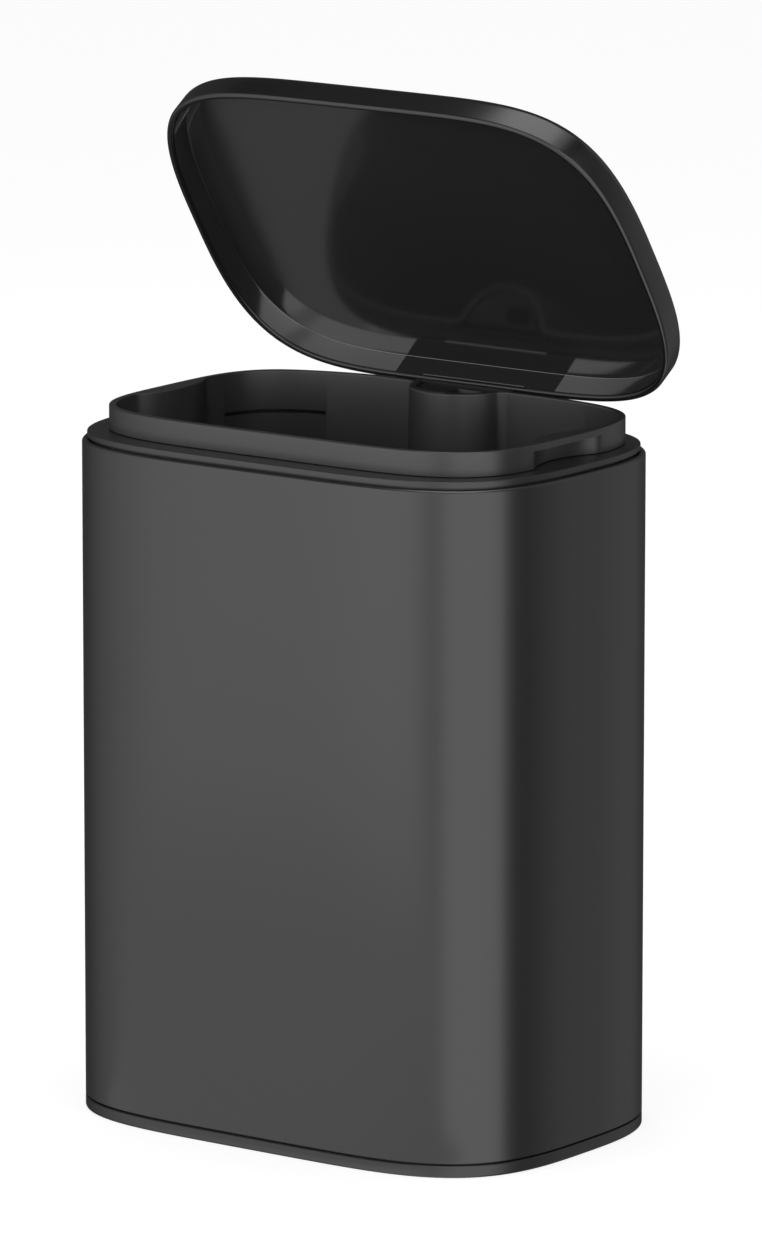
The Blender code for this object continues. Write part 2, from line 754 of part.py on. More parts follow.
def drill(target, name, places, back, material):
    """Counterbored screw holes through a piece, from its back face."""
    seat = back - SCREW_HEAD_HEIGHT - FIT_GAP
    for index, (x, z) in enumerate(places):
        shank = rod(
            f"{name}_hole_{index}",
            (x, 0, z),
            (x, back + OVERRUN, z),
            SCREW_RADIUS + FIT_GAP,
            material,
            cutters,
            HOLE_SIDES,
        )
        combine(target, shank, "DIFFERENCE")
        head = rod(
            f"{name}_counterbore_{index}",
            (x, seat, z),
            (x, back + OVERRUN, z),
            SCREW_HEAD_RADIUS + FIT_GAP,
            material,
            cutters,
            HOLE_SIDES,
        )
        combine(target, head, "DIFFERENCE")


def build_hinge_base(material):
    """Block on the sleeve's back with two lugs for the pin and a stop for the leaf's tail."""
    axis_y, axis_z = HINGE_AXIS.y, HINGE_AXIS.z
    back = axis_y + BARREL_RADIUS
    floor = axis_z - BARREL_RADIUS - 2 * FIT_GAP
    outline = [(OUTER_BACK, axis_z - HINGE_BASE_DROP), (back, axis_z - HINGE_BASE_DROP)]
    for step in range(9):
        turn = math.pi * step / 8
        outline.append(
            (axis_y + BARREL_RADIUS * math.cos(turn), axis_z + BARREL_RADIUS * math.sin(turn))
        )
    outline.append((axis_y - BARREL_RADIUS, floor))
    outline.append((OUTER_BACK, floor - (BARREL_RADIUS - BARREL_BORE)))
    base = slab("hinge_base", outline, -LEAF_WIDTH / 2, LEAF_WIDTH / 2, "X", material)
    gap = block(
        "hinge_base_gap",
        (-LUG_START, OUTER_BACK - OVERRUN, floor),
        (LUG_START, back + OVERRUN, axis_z + BARREL_RADIUS + OVERRUN),
        material,
        cutters,
    )
    combine(base, gap, "DIFFERENCE")
    stop_top = axis_z - TAIL_THICKNESS / 2 - FIT_GAP
    stop = block(
        "hinge_stop",
        (-STOP_WIDTH / 2, back - BARREL_WALL, stop_top - STOP_HEIGHT),
        (STOP_WIDTH / 2, axis_y + TAIL_LENGTH, floor),
        material,
        cutters,
    )
    combine(base, stop, "UNION")
    rib = block(
        "hinge_stop_rib",
        (-STOP_WIDTH / 2, back + 2 * FIT_GAP, floor - BARREL_WALL),
        (STOP_WIDTH / 2, axis_y + TAIL_LENGTH, stop_top),
        material,
        cutters,
    )
    combine(base, rib, "UNION")
    bore = rod(
        "hinge_base_bore",
        HINGE_AXIS - Vector((LEAF_WIDTH, 0, 0)),
        HINGE_AXIS + Vector((LEAF_WIDTH, 0, 0)),
        PIN_RADIUS + FIT_GAP,
        material,
        cutters,
    )
    combine(base, bore, "DIFFERENCE")
    drill(base, "hinge_base", hinge_screw_places(), back, material)
    return base


def build_pin(material):
    reach = Vector((LEAF_WIDTH / 2 + FIT_GAP + CLIP_THICKNESS + PIN_TAIL, 0, 0))
    pin = rod("hinge_pin", HINGE_AXIS - reach, HINGE_AXIS + reach, PIN_RADIUS, material)
    bevel(pin, PIN_TAIL / 4, 1)
    return pin


def build_clip(name, side, material):
    """Spring clip in front of one end of the pin, open at its lower side."""
    inner = PIN_RADIUS + FIT_GAP
    half_gap = math.asin(CLIP_OPENING / inner)
    outline = []
    for radius, order in ((inner + CLIP_WIDTH, 1), (inner, -1)):
        for step in range(CLIP_POINTS + 1)[::order]:
            turn = half_gap - math.pi / 2 + 2 * (math.pi - half_gap) * step / CLIP_POINTS
            outline.append(
                (HINGE_AXIS.y + radius * math.cos(turn), HINGE_AXIS.z + radius * math.sin(turn))
            )
    start = side * (LEAF_WIDTH / 2 + FIT_GAP)
    return slab(name, outline, start, start + side * CLIP_THICKNESS, "X", material)


def build_bush(name, side, material):
    """Flanged friction bush in one end of the leaf's barrel."""
    face = side * BARREL_LENGTH / 2
    inside = side * (BARREL_LENGTH / 2 - 3 * BUSH_RADIUS)
    outside = side * (BARREL_LENGTH / 2 + FIT_GAP + BUSH_FLANGE)
    bush = rod(
        name,
        HINGE_AXIS + Vector((inside, 0, 0)),
        HINGE_AXIS + Vector((outside, 0, 0)),
        BUSH_RADIUS,
        material,
    )
    flange = rod(
        name + "_flange",
        HINGE_AXIS + Vector((face + side * FIT_GAP, 0, 0)),
        HINGE_AXIS + Vector((outside, 0, 0)),
        BARREL_RADIUS,
        material,
        cutters,
    )
    combine(bush, flange, "UNION")
    bore = rod(
        name + "_bore",
        HINGE_AXIS + Vector((inside - side * OVERRUN, 0, 0)),
        HINGE_AXIS + Vector((outside + side * OVERRUN, 0, 0)),
        BUSH_BORE,
        material,
        cutters,
    )
    combine(bush, bore, "DIFFERENCE")
    return bush


def build_pillar(material):
    """Housing inside the sleeve's back that takes the screws and stands in the column."""
    top = COLLAR_TOP
    ring_edge = BUCKET_BACK_SHIFT + BUCKET_DEPTH / 2 - BUCKET_SEAT + FIT_GAP
    upper_back = ring_edge - PILLAR_RING_GAP
    half = math.asin((COLUMN_CENTRE_Y - upper_back) / PILLAR_RADIUS)
    outline = []
    for step in range(13):
        turn = -half - (math.pi - 2 * half) * step / 12
        outline.append(
            (PILLAR_RADIUS * math.cos(turn), COLUMN_CENTRE_Y + PILLAR_RADIUS * math.sin(turn))
        )
    pillar = slab("hinge_pillar", outline, PILLAR_BOTTOM, top, "Z", material)
    root = block(
        "pillar_root",
        (-PILLAR_RADIUS, upper_back - PILLAR_POCKET_WALL, PILLAR_BOTTOM),
        (PILLAR_RADIUS, PILLAR_BACK, PILLAR_FLANGE_TOP),
        material,
        cutters,
    )
    combine(pillar, root, "UNION")
    flange = block(
        "pillar_flange",
        (-PILLAR_FLANGE_WIDTH / 2, PILLAR_BACK - PILLAR_FLANGE_THICKNESS, PILLAR_BOTTOM),
        (PILLAR_FLANGE_WIDTH / 2, PILLAR_BACK, PILLAR_FLANGE_TOP),
        material,
        cutters,
    )
    combine(pillar, flange, "UNION")
    pocket = block(
        "pillar_pocket",
        (PILLAR_POCKET_WALL / 2, COLUMN_CENTRE_Y - PILLAR_POCKET_WIDTH, top - PILLAR_POCKET_DEPTH),
        (PILLAR_POCKET_WALL / 2 + PILLAR_POCKET_WIDTH, upper_back - PILLAR_POCKET_WALL, top + OVERRUN),
        material,
        cutters,
    )
    combine(pillar, pocket, "DIFFERENCE")
    return pillar


def tap(target, name, places, material):
    """Plain holes for the screws' ends."""
    for index, (x, z) in enumerate(places):
        hole = rod(
            f"{name}_tap_{index}",
            (x, PILLAR_BACK - PILLAR_FLANGE_THICKNESS - OVERRUN, z),
            (x, HALF_DEPTH + OVERRUN, z),
            SCREW_RADIUS + FIT_GAP,
            material,
            cutters,
            HOLE_SIDES,
        )
        combine(target, hole, "DIFFERENCE")


def build_screw(name, place, back, material):
    """Pan-head screw with a round socket, entered from behind."""
    x, z = place
    seat = back - SCREW_HEAD_HEIGHT
    end = PILLAR_BACK - PILLAR_FLANGE_THICKNESS - SCREW_BITE
    dome = SCREW_HEAD_HEIGHT / 4
    profile = [
        (SCREW_RADIUS / 2, end),
        (SCREW_RADIUS, end + SCREW_RADIUS),
        (SCREW_RADIUS, seat),
        (SCREW_HEAD_RADIUS, seat),
        (SCREW_HEAD_RADIUS, back - dome),
        (SCREW_HEAD_RADIUS - dome, back),
        (SCREW_SOCKET_RADIUS, back),
        (SCREW_SOCKET_RADIUS, back - SCREW_SOCKET_DEPTH),
    ]
    rings = []
    for radius, y in profile:
        ring = []
        for index in range(SCREW_SIDES):
            turn = 2 * math.pi * index / SCREW_SIDES
            ring.append(Vector((x + radius * math.cos(turn), y, z + radius * math.sin(turn))))
        rings.append(ring)
    return loft(name, rings, material, False)


# Wall mounting

def build_hanger(material):
    """Block on the sleeve's back with a slot, open below, for the wall plate's tongue."""
    hanger = block(
        "hanger_block",
        (-HANGER_WIDTH / 2, OUTER_BACK, HANGER_BOTTOM),
        (HANGER_WIDTH / 2, HANGER_BACK, HANGER_TOP),
        material,
    )
    bevel(hanger, HANGER_ROUND)
    slot_top = TONGUE_TOP + FIT_GAP
    head = block(
        "hanger_head_slot",
        (-TONGUE_HEAD_WIDTH / 2 - FIT_GAP, TONGUE_HEAD_FRONT - FIT_GAP, HANGER_BOTTOM - OVERRUN),
        (TONGUE_HEAD_WIDTH / 2 + FIT_GAP, TONGUE_HEAD_BACK + FIT_GAP, slot_top),
        material,
        cutters,
    )
    combine(hanger, head, "DIFFERENCE")
    neck = block(
        "hanger_neck_slot",
        (-TONGUE_NECK_WIDTH / 2 - FIT_GAP, TONGUE_HEAD_BACK, HANGER_BOTTOM - OVERRUN),
        (TONGUE_NECK_WIDTH / 2 + FIT_GAP, HANGER_BACK + OVERRUN, slot_top),
        material,
        cutters,
    )
    combine(hanger, neck, "DIFFERENCE")
    drill(hanger, "hanger", hanger_screw_places(), HANGER_BACK, material)
    return hanger


def rounded_rectangle(width, height, radius, centre_z):
    """Outline in X and Z with round corners."""
    outline = []
    for quarter in range(4):
        corner_x = (width / 2 - radius) * (1 if quarter in (0, 3) else -1)
        corner_z = (height / 2 - radius) * (1 if quarter in (0, 1) else -1)
        for step in range(5):
            turn = math.pi / 2 * (quarter + step / 4)
            outline.append(
                (
                    corner_x + radius * math.cos(turn),
                    centre_z + corner_z + radius * math.sin(turn),
                )
            )
    return outline


def build_wall_plate(material):
    """Plate screwed to the wall, with a T-shaped tongue that the bin hangs on."""
    outline = rounded_rectangle(PLATE_WIDTH, PLATE_HEIGHT, PLATE_CORNER, WALL_FACE.z)
    bm = bmesh.new()
    face = bm.faces.new([bm.verts.new((x, PLATE_FRONT, z)) for x, z in outline])
    grown = bmesh.ops.extrude_face_region(bm, geom=[face])
    moved = [item for item in grown["geom"] if isinstance(item, bmesh.types.BMVert)]
    bmesh.ops.translate(bm, vec=(0, PLATE_THICKNESS, 0), verts=moved)
    plate = add_object("wall_plate", mesh_from("wall_plate", bm), material)
    neck = block(
        "tongue_neck",
        (-TONGUE_NECK_WIDTH / 2, TONGUE_HEAD_BACK - TONGUE_HEAD_THICKNESS / 2, TONGUE_BOTTOM),
        (TONGUE_NECK_WIDTH / 2, PLATE_FRONT + PLATE_THICKNESS / 2, TONGUE_TOP),
        material,
        cutters,
    )
    combine(plate, neck, "UNION")
    head = block(
        "tongue_head",
        (-TONGUE_HEAD_WIDTH / 2, TONGUE_HEAD_FRONT, TONGUE_BOTTOM),
        (TONGUE_HEAD_WIDTH / 2, TONGUE_HEAD_BACK, TONGUE_TOP),
        material,
        cutters,
    )
    combine(plate, head, "UNION")
    across = PLATE_WIDTH / 2 - PLATE_HOLE_INSET
    up = PLATE_HEIGHT / 2 - PLATE_HOLE_INSET
    for index, (side, end) in enumerate(((-1, -1), (1, -1), (-1, 1), (1, 1))):
        x = side * across
        z = WALL_FACE.z + end * up
        hole = rod(
            f"plate_hole_{index}",
            (x, PLATE_FRONT - OVERRUN, z),
            (x, WALL_Y + OVERRUN, z),
            PLATE_HOLE_RADIUS,
            material,
            cutters,
            HOLE_SIDES,
        )
        combine(plate, hole, "DIFFERENCE")
    return plate


def hang(objects, parent, offset):
    for obj in objects:
        obj.parent = parent
        obj.location = offset


def add_empty(name, location, parent=None):
    empty = bpy.data.objects.new(name, None)
    parts.objects.link(empty)
    empty.parent = parent
    empty.location = location
    return empty


def main():
    global parts, cutters
    clear_scene()
    parts = make_collection("wall_waste_bin")
    cutters = make_collection("cutters")

    coated = make_material("coated_sheet", (0.075, 0.075, 0.078), 0.42, 0.55)
    lid_skin = make_material("lid_sheet", (0.035, 0.035, 0.036), 0.30, 0.45)
    plastic = make_material("black_plastic", (0.030, 0.030, 0.031), 0.38, 0.0)
    dish = make_material("gloss_plastic", (0.014, 0.014, 0.014), 0.16, 0.0)
    hardware = make_material("dark_hardware", (0.050, 0.050, 0.052), 0.45, 0.2)
    steel = make_material("zinc_steel", (0.55, 0.55, 0.56), 0.35, 1.0)
    bush_plastic = make_material("bush_plastic", (0.60, 0.59, 0.55), 0.50, 0.0)

    sleeve = build_sleeve(coated)
    base = build_base(plastic)
    ring = build_ring(plastic)
    bucket = build_bucket(plastic)
    pillar = build_pillar(hardware)
    hinge_base = build_hinge_base(hardware)
    hanger = build_hanger(hardware)
    hinge_places = hinge_screw_places()
    hanger_places = hanger_screw_places()
    for piece in (sleeve, pillar):
        tap(piece, piece.name + "_hinge", hinge_places, hardware)
        tap(piece, piece.name + "_hanger", hanger_places, hardware)
    hinge_back = HINGE_AXIS.y + BARREL_RADIUS
    screws = []
    for index, place in enumerate(hinge_places, 1):
        screws.append(build_screw(f"hinge_screw_{index}", place, hinge_back, steel))
    for index, place in enumerate(hanger_places, 1):
        screws.append(build_screw(f"hanger_screw_{index}", place, HANGER_BACK, steel))
    pin = build_pin(steel)
    clips = [build_clip("pin_clip_left", -1, steel), build_clip("pin_clip_right", 1, steel)]
    left_bush = build_bush("hinge_bush_left", -1, bush_plastic)
    right_bush = build_bush("hinge_bush_right", 1, bush_plastic)
    wall_plate = build_wall_plate(hardware)

    shell = build_lid_shell(lid_skin)
    liner = build_lid_liner(dish)
    leaf = build_leaf(hardware)
    cut_tongue_slots(shell, liner, hardware)

    bin_frame = add_empty("bin_frame", -WALL_FACE)
    casing = [sleeve, base, ring, bucket, pillar, hinge_base, hanger, wall_plate]
    casing += screws + clips + [pin]
    lid = [shell, liner, leaf, left_bush, right_bush]
    lid_cutters = [obj for obj in cutters.objects if obj.name.startswith(LID_CUTTER_NAMES)]
    casing_cutters = [obj for obj in cutters.objects if obj not in lid_cutters]
    hang(casing + casing_cutters, bin_frame, (0, 0, 0))

    lid_pivot = add_empty("lid_pivot", HINGE_AXIS, bin_frame)
    hang(lid + lid_cutters, lid_pivot, -HINGE_AXIS)
    lid_pivot.rotation_euler = (-LID_OPEN_ANGLE, 0, 0)


main()
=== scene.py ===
"""Looks of a small wall-mounted waste bin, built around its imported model.

Lengths are in metres in the model's own frame: the wall plate's back face is at the origin,
the bin's front is towards -Y and Z is up. The casing, the shoulder, the bucket, the base and
the two skins of the lid are finer surfaces that stand for their nodes. The fittings are
softened copies of their nodes. The lid's pieces are worked out shut and then turned open.
"""

import json
import math

import bmesh
import bpy
import numpy as np
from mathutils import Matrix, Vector


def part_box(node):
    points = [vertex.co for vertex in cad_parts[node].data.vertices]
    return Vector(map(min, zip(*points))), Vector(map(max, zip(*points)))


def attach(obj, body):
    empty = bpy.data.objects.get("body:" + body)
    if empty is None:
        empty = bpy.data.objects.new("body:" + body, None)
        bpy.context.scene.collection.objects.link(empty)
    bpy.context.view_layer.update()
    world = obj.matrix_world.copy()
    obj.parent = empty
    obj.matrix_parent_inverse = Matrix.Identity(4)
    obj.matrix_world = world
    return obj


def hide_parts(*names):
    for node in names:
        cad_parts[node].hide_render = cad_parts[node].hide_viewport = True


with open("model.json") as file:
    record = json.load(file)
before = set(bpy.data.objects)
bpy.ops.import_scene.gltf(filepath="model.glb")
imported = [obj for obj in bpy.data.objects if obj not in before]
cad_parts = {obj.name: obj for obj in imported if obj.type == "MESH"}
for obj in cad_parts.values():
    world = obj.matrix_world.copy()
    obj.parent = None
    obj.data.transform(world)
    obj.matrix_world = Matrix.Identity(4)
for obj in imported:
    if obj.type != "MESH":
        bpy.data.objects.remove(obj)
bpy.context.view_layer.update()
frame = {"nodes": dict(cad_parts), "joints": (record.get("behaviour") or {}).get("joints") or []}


# Sizes read from the frame

def corners(node):
    low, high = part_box(node)
    return np.array(low), np.array(high)


SLEEVE_LOW, SLEEVE_HIGH = corners("body_sleeve")
BASE_LOW, BASE_HIGH = corners("base_moulding")
RING_LOW, RING_HIGH = corners("top_ring")
BUCKET_LOW, BUCKET_HIGH = corners("inner_bucket")
SHELL_LOW, SHELL_HIGH = corners("lid_shell")
PILLAR_TOP = corners("hinge_pillar")[1][2]

CENTRE = (SLEEVE_LOW + SLEEVE_HIGH) / 2
HALF_WIDTH, HALF_DEPTH = (SLEEVE_HIGH - SLEEVE_LOW)[:2] / 2
LID_HALF = ((SHELL_HIGH - SHELL_LOW)[0] / 2, HALF_DEPTH)
BUCKET_HALF = (BUCKET_HIGH - BUCKET_LOW)[:2] / 2
BUCKET_CENTRE = (BUCKET_HIGH + BUCKET_LOW)[:2] / 2
HINGE = next(joint for joint in frame["joints"] if joint["type"] == "hinge")
AXIS = np.array(HINGE["pos_m"])
UNDERSIDE = BASE_LOW[2]

# Sizes shared with the model's source
BODY_POWERS = (4.55, 3.07)
LID_POWERS = (5.15, 3.00)
SHEET = 0.0006
HEM_RADIUS = 0.0012
HEM_RETURN = 0.0030
PLINTH_HEIGHT = 0.0041
GROOVE_HEIGHT = 0.0008
GROOVE_DEPTH = 0.0020
FOOT_WIDTH = 0.0070
FOOT_RECESS = 0.0016
BASE_FLOOR = 0.0022
SPIGOT_WALL = 0.0018
RING_LIP_INSET = 0.0017
RING_THICKNESS = 0.0018
RING_SKIRT_WALL = 0.0014
FIT_GAP = 0.0003
COLLAR_WALL = 0.0024
BUCKET_SEAT = 0.0012
BUCKET_WALL = 0.0013
BUCKET_DRAFT = 0.0025
BUCKET_FLOOR_ROUND = 0.0090
BUCKET_FLOOR_RISE = 0.0030
COLUMN_RADIUS = 0.0175
COLUMN_SETBACK = 0.0020
COLUMN_FILLET = 0.0035
TAB_HEIGHT = 0.0010
TAB_SHARES = (0.28, 0.60)
GRIP_WIDTH = 0.0385
GRIP_DEPTH = 0.00575
GRIP_BAND = 0.0021
SLIT_DROP = 0.0137
SLIT_HEIGHT = 0.0012
SLIT_SIDE_SHARE = 0.47
SLIT_BACK_SHARE = 0.62
LID_OPEN = math.radians(56.37)
LID_RIM_HEIGHT = 0.22905
LID_RIM = LID_RIM_HEIGHT + UNDERSIDE
LID_EDGE_HEIGHT = 0.0112
LID_EDGE_RADIUS = 0.0035
LID_CROWN = 0.0024
LINER_WALL = 0.0010
TONGUE_RISE = 0.0026
TONGUE_THICKNESS = 0.0012
TONGUE_WIDTH = 0.0380
COLLAR_TOP = BUCKET_HIGH[2] - TAB_HEIGHT
RING_TOP = RING_HIGH[2]

# Sizes of the finer surfaces alone
PLINTH_ROUND = 0.0009
RIB_WIDTH = 0.0020
RING_ROUND = 0.0004
BUCKET_POWERS = (4.85, 4.05)
COLLAR_ROUND = 0.0005
COLLAR_LIFT = 0.0006
COLLAR_LIFT_FROM = (-0.0650, 0.0100)
COLLAR_LIFT_TO = (-0.0300, 0.0400)
LID_RIM_WIDTH = 0.0023
LID_RIM_ROUND = LID_RIM_WIDTH / 2
LID_HEM_RETURN = 0.0020
SEAM = 0.0001
LINER_INSET = LID_RIM_WIDTH + SEAM
LINER_RIM_RISE = 0.0012
LINER_FOOT = LID_RIM + LINER_RIM_RISE
LINER_DEPTH = 0.0090
LINER_ROOF = LID_RIM + LINER_DEPTH
LINER_CROWN = -0.0014
LINER_CROWN_POWER = 4
LINER_FILLET = 0.00025
LINER_CREASE_INSET = 0.0028
LINER_LEAN = 165
# Painted shade: width and sink of the dull strip that darkens the middle of the dish's skirt
SHADE_STRIP_WIDTH = 0.0666
SHADE_STRIP_SINK = 0.0003
TONGUE_REACH = 0.0056
TONGUE_END_WIDTH = 0.0410
TONGUE_END_RISE = 0.0009
TONGUE_END_THICKNESS = 0.0003
TONGUE_END_REACH = 0.0031
GUARD_WIDTH = 0.0390
GUARD_THICKNESS = 0.0010
GUARD_LIFT = 0.0007
GUARD_TOP = PILLAR_TOP + GUARD_LIFT
OVERRUN = 0.004
PLATE_EDGE = 0.0004
MOULDED_EDGE = 0.0003
LEAF_EDGE = 0.00015
MERGE_REACH = 1e-6

# Points and steps of outlines, rows of roofs and angles in degrees
AROUND = 480
FILLET_POINTS = 17
COLUMN_POINTS = 80
TAB_POINTS = 25
LINE_PASSES = 2
LENGTH_STEPS = 16
HEM_STEPS = 16
LID_EDGE_STEPS = 12
INNER_SIDE_STEPS = 8
FLOOR_STEPS = 8
CREASE_STEPS = 8
BEAD_STEPS = 6
PLINTH_STEPS = 6
LIP_STEPS = 5
LID_ROOF_ROWS = 14
DISH_ROOF_ROWS = 32
DISH_BACK_ROWS = 8
MIDDLE_SHARE = 0.03
SMOOTH_ANGLE = 32
FLAT_ANGLE = 1
BEVEL_ANGLE = 40
BEVEL_SEGMENTS = 2


# Outlines

def turns(half, powers, first, last, count):
    """Angles along a superellipse between two turns, at even steps of its length."""
    fine = np.linspace(first, last, LENGTH_STEPS * count + 1)
    points = superellipse(half, powers, fine)
    length = np.concatenate([[0], np.cumsum(np.hypot(*np.diff(points, axis=0).T))])
    return np.interp(np.linspace(0, length[-1], count + 1), length, fine)


def superellipse(half, powers, turn, outset=0.0):
    """x = a cos^(2/n), y = b sin^(2/m), moved outwards along the curve's normal."""
    cos, sin = np.cos(turn), np.sin(turn)
    x = half[0] * np.sign(cos) * np.abs(cos) ** (2 / powers[0])
    y = half[1] * np.sign(sin) * np.abs(sin) ** (2 / powers[1])
    nx = powers[0] / half[0] * np.sign(x) * np.abs(x / half[0]) ** (powers[0] - 1)
    ny = powers[1] / half[1] * np.sign(y) * np.abs(y / half[1]) ** (powers[1] - 1)
    length = np.hypot(nx, ny)
    return np.stack([x + outset * nx / length, y + outset * ny / length], -1)


BODY_TURNS = turns((HALF_WIDTH, HALF_DEPTH), BODY_POWERS, 0, 2 * math.pi, AROUND)[:-1]
LID_TURNS = turns(LID_HALF, LID_POWERS, 0, 2 * math.pi, AROUND)[:-1]


def body_outline(inset):
    points = superellipse((HALF_WIDTH, HALF_DEPTH), BODY_POWERS, BODY_TURNS, -inset)
    return points + CENTRE[:2]


def lid_outline(inset):
    points = superellipse(LID_HALF, LID_POWERS, LID_TURNS, -inset)
    return points + CENTRE[:2]


def scooped(points, outset):
    """Points inside a grip's circle slide along X onto it, so each side gets a hollow."""
    half = GRIP_WIDTH / 2
    radius = (half**2 + GRIP_DEPTH**2) / (2 * GRIP_DEPTH)
    wall = BUCKET_HALF[0] - COLLAR_WALL
    place = points[:, 1] - CENTRE[1]
    rest = np.maximum((radius - outset) ** 2 - place**2, 0)
    limit = wall - GRIP_DEPTH + radius - np.sqrt(rest)
    reach = np.abs(points[:, 0])
    inside = (np.abs(place) < half) & (limit < reach)
    pushed = points.copy()
    pushed[:, 0] = np.where(inside, np.sign(points[:, 0]) * limit, points[:, 0])
    return pushed


def softened_line(points):
    """Each pass moves a point towards the middle of its neighbours, which rounds the creases."""
    for _ in range(LINE_PASSES):
        points = (np.roll(points, 1, 0) + 2 * points + np.roll(points, -1, 0)) / 4
    return points


def bucket_outline(outset, scoop=True):
    """Bucket wall at a distance outside its inner face, with the column bent in at the back."""
    half = BUCKET_HALF - COLLAR_WALL
    reach = COLUMN_RADIUS + COLUMN_FILLET
    drop = COLUMN_FILLET + COLUMN_SETBACK
    foot = math.sqrt(reach**2 - drop**2)
    lean = math.atan2(drop, foot)
    share = math.asin((foot / half[0]) ** (BUCKET_POWERS[0] / 2))
    first, last = math.pi / 2 + share, math.pi * 5 / 2 - share
    wall_steps = AROUND - COLUMN_POINTS - 2 * (FILLET_POINTS - 1)
    wall_turns = turns(half, BUCKET_POWERS, first, last, wall_steps)
    wall = superellipse(half, BUCKET_POWERS, wall_turns, outset) + BUCKET_CENTRE
    back = BUCKET_CENTRE[1] + half[1]
    fillet = np.linspace(math.pi / 2, lean, FILLET_POINTS)
    right = np.stack(
        [
            foot - (COLUMN_FILLET + outset) * np.cos(fillet),
            back - COLUMN_FILLET + (COLUMN_FILLET + outset) * np.sin(fillet),
        ],
        -1,
    )
    arc = np.linspace(-lean, lean - math.pi, COLUMN_POINTS)[1:-1]
    column = np.stack(
        [
            (COLUMN_RADIUS - outset) * np.cos(arc),
            back + COLUMN_SETBACK + (COLUMN_RADIUS - outset) * np.sin(arc),
        ],
        -1,
    )
    left = right[::-1] * (-1, 1)
    if scoop:
        wall = scooped(wall, outset)
    points = np.concatenate([right[1:], column, left[:-1], wall])
    return softened_line(points)


def opening_outline(outset):
    """Hole in the shoulder for the bucket: its wall with the grips but without the column."""
    half = BUCKET_HALF - COLLAR_WALL
    hole_turns = turns(half, BUCKET_POWERS, 0, 2 * math.pi, AROUND)[:-1]
    points = superellipse(half, BUCKET_POWERS, hole_turns, outset) + BUCKET_CENTRE
    return softened_line(scooped(points, outset))


def level(points, height):
    return np.column_stack([points, np.full(len(points), height)])


def bend(inset, height, radius, start, end, steps):
    """Pairs of inset and height along a circular arc of a section, angles in degrees."""
    turn = np.radians(np.linspace(start, end, steps + 1))
    return list(zip(inset + radius * np.cos(turn), height + radius * np.sin(turn)))


def swept(outline, section):
    return [level(outline(inset), height) for inset, height in section]


def roofed(edge, rise, count, power=2):
    """Rows from an edge to the middle of a roof, whose rise grows as 1 - share^power."""
    rows = []
    for share in np.linspace(1, MIDDLE_SHARE, count)[1:]:
        row = edge.copy()
        row[:, :2] = CENTRE[:2] + (edge[:, :2] - CENTRE[:2]) * share
        row[:, 2] += rise * (1 - share**power)
        rows.append(row)
    return rows


def opened(points):
    """Points of the shut lid turned about the hinge axis to where the lid stands."""
    y, z = (points[:, 1:] - AXIS[1:]).T
    cos, sin = math.cos(LID_OPEN), math.sin(LID_OPEN)
    turned = np.stack([y * cos + z * sin, z * cos - y * sin], -1) + AXIS[1:]
    return np.column_stack([points[:, 0], turned])


# Meshes

def skin(rows, ring):
    """Vertices and faces of a surface through closed rows; ring joins the last row to the first."""
    count = len(rows[0])
    last = len(rows) if ring else len(rows) - 1
    i = np.arange(last)[:, None] * count
    after = (np.arange(last)[:, None] + 1) % len(rows) * count
    j = np.arange(count)[None, :]
    step = (j + 1) % count
    quads = np.stack([i + j, i + step, after + step, after + j], -1).reshape(-1, 4).tolist()
    if not ring:
        quads.append(list(range(count))[::-1])
        quads.append(list(range((len(rows) - 1) * count, len(rows) * count)))
    return np.concatenate(rows), quads


def cuboid(low, high):
    """Vertices and faces of a box between two corners."""
    low, high = np.array(low), np.array(high)
    pick = np.array([[x, y, z] for z in (0, 1) for y in (0, 1) for x in (0, 1)])
    faces = [[0, 2, 3, 1], [4, 5, 7, 6], [0, 1, 5, 4], [2, 6, 7, 3], [0, 4, 6, 2], [1, 3, 7, 5]]
    return low + pick * (high - low), faces


def facing_out(vertices, faces):
    """Turns all faces round if their volume, summed over fans of triangles, is negative."""
    volume = 0.0
    for size in {len(face) for face in faces}:
        rings = vertices[np.array([face for face in faces if len(face) == size])]
        volume += (rings[:, :1] * np.cross(rings[:, 1:-1], rings[:, 2:])).sum()
    return faces if volume > 0 else [face[::-1] for face in faces]


def make_piece(name, shell, material, body, nodes=()):
    vertices, faces = shell
    mesh = bpy.data.meshes.new(name)
    mesh.from_pydata(vertices.tolist(), [], facing_out(vertices, faces))
    piece = bpy.data.objects.new(name, mesh)
    bpy.context.scene.collection.objects.link(piece)
    mesh.materials.append(material)
    dress(piece)
    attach(piece, body)
    if nodes:
        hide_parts(*nodes)
    return piece


def dress(piece):
    piece.data.shade_smooth()
    piece.data.set_sharp_from_angle(angle=math.radians(SMOOTH_ANGLE))


def applied(piece):
    """Puts the piece's modifiers into its mesh."""
    graph = bpy.context.evaluated_depsgraph_get()
    mesh = bpy.data.meshes.new_from_object(piece.evaluated_get(graph), depsgraph=graph)
    piece.modifiers.clear()
    old = piece.data
    piece.data = mesh
    bpy.data.meshes.remove(old)
    dress(piece)


def cut(piece, shells, operation="DIFFERENCE"):
    """Takes solid shells out of a piece, or adds them with the operation UNION."""
    helpers = []
    for index, (vertices, faces) in enumerate(shells):
        mesh = bpy.data.meshes.new(f"{piece.name}_cut_{index}")
        mesh.from_pydata(vertices.tolist(), [], facing_out(vertices, faces))
        helper = bpy.data.objects.new(mesh.name, mesh)
        bpy.context.scene.collection.objects.link(helper)
        helpers.append(helper)
        modifier = piece.modifiers.new(mesh.name, "BOOLEAN")
        modifier.operation = operation
        modifier.object = helper
        modifier.solver = "EXACT"
    applied(piece)
    for helper in helpers:
        mesh = helper.data
        bpy.data.objects.remove(helper)
        bpy.data.meshes.remove(mesh)


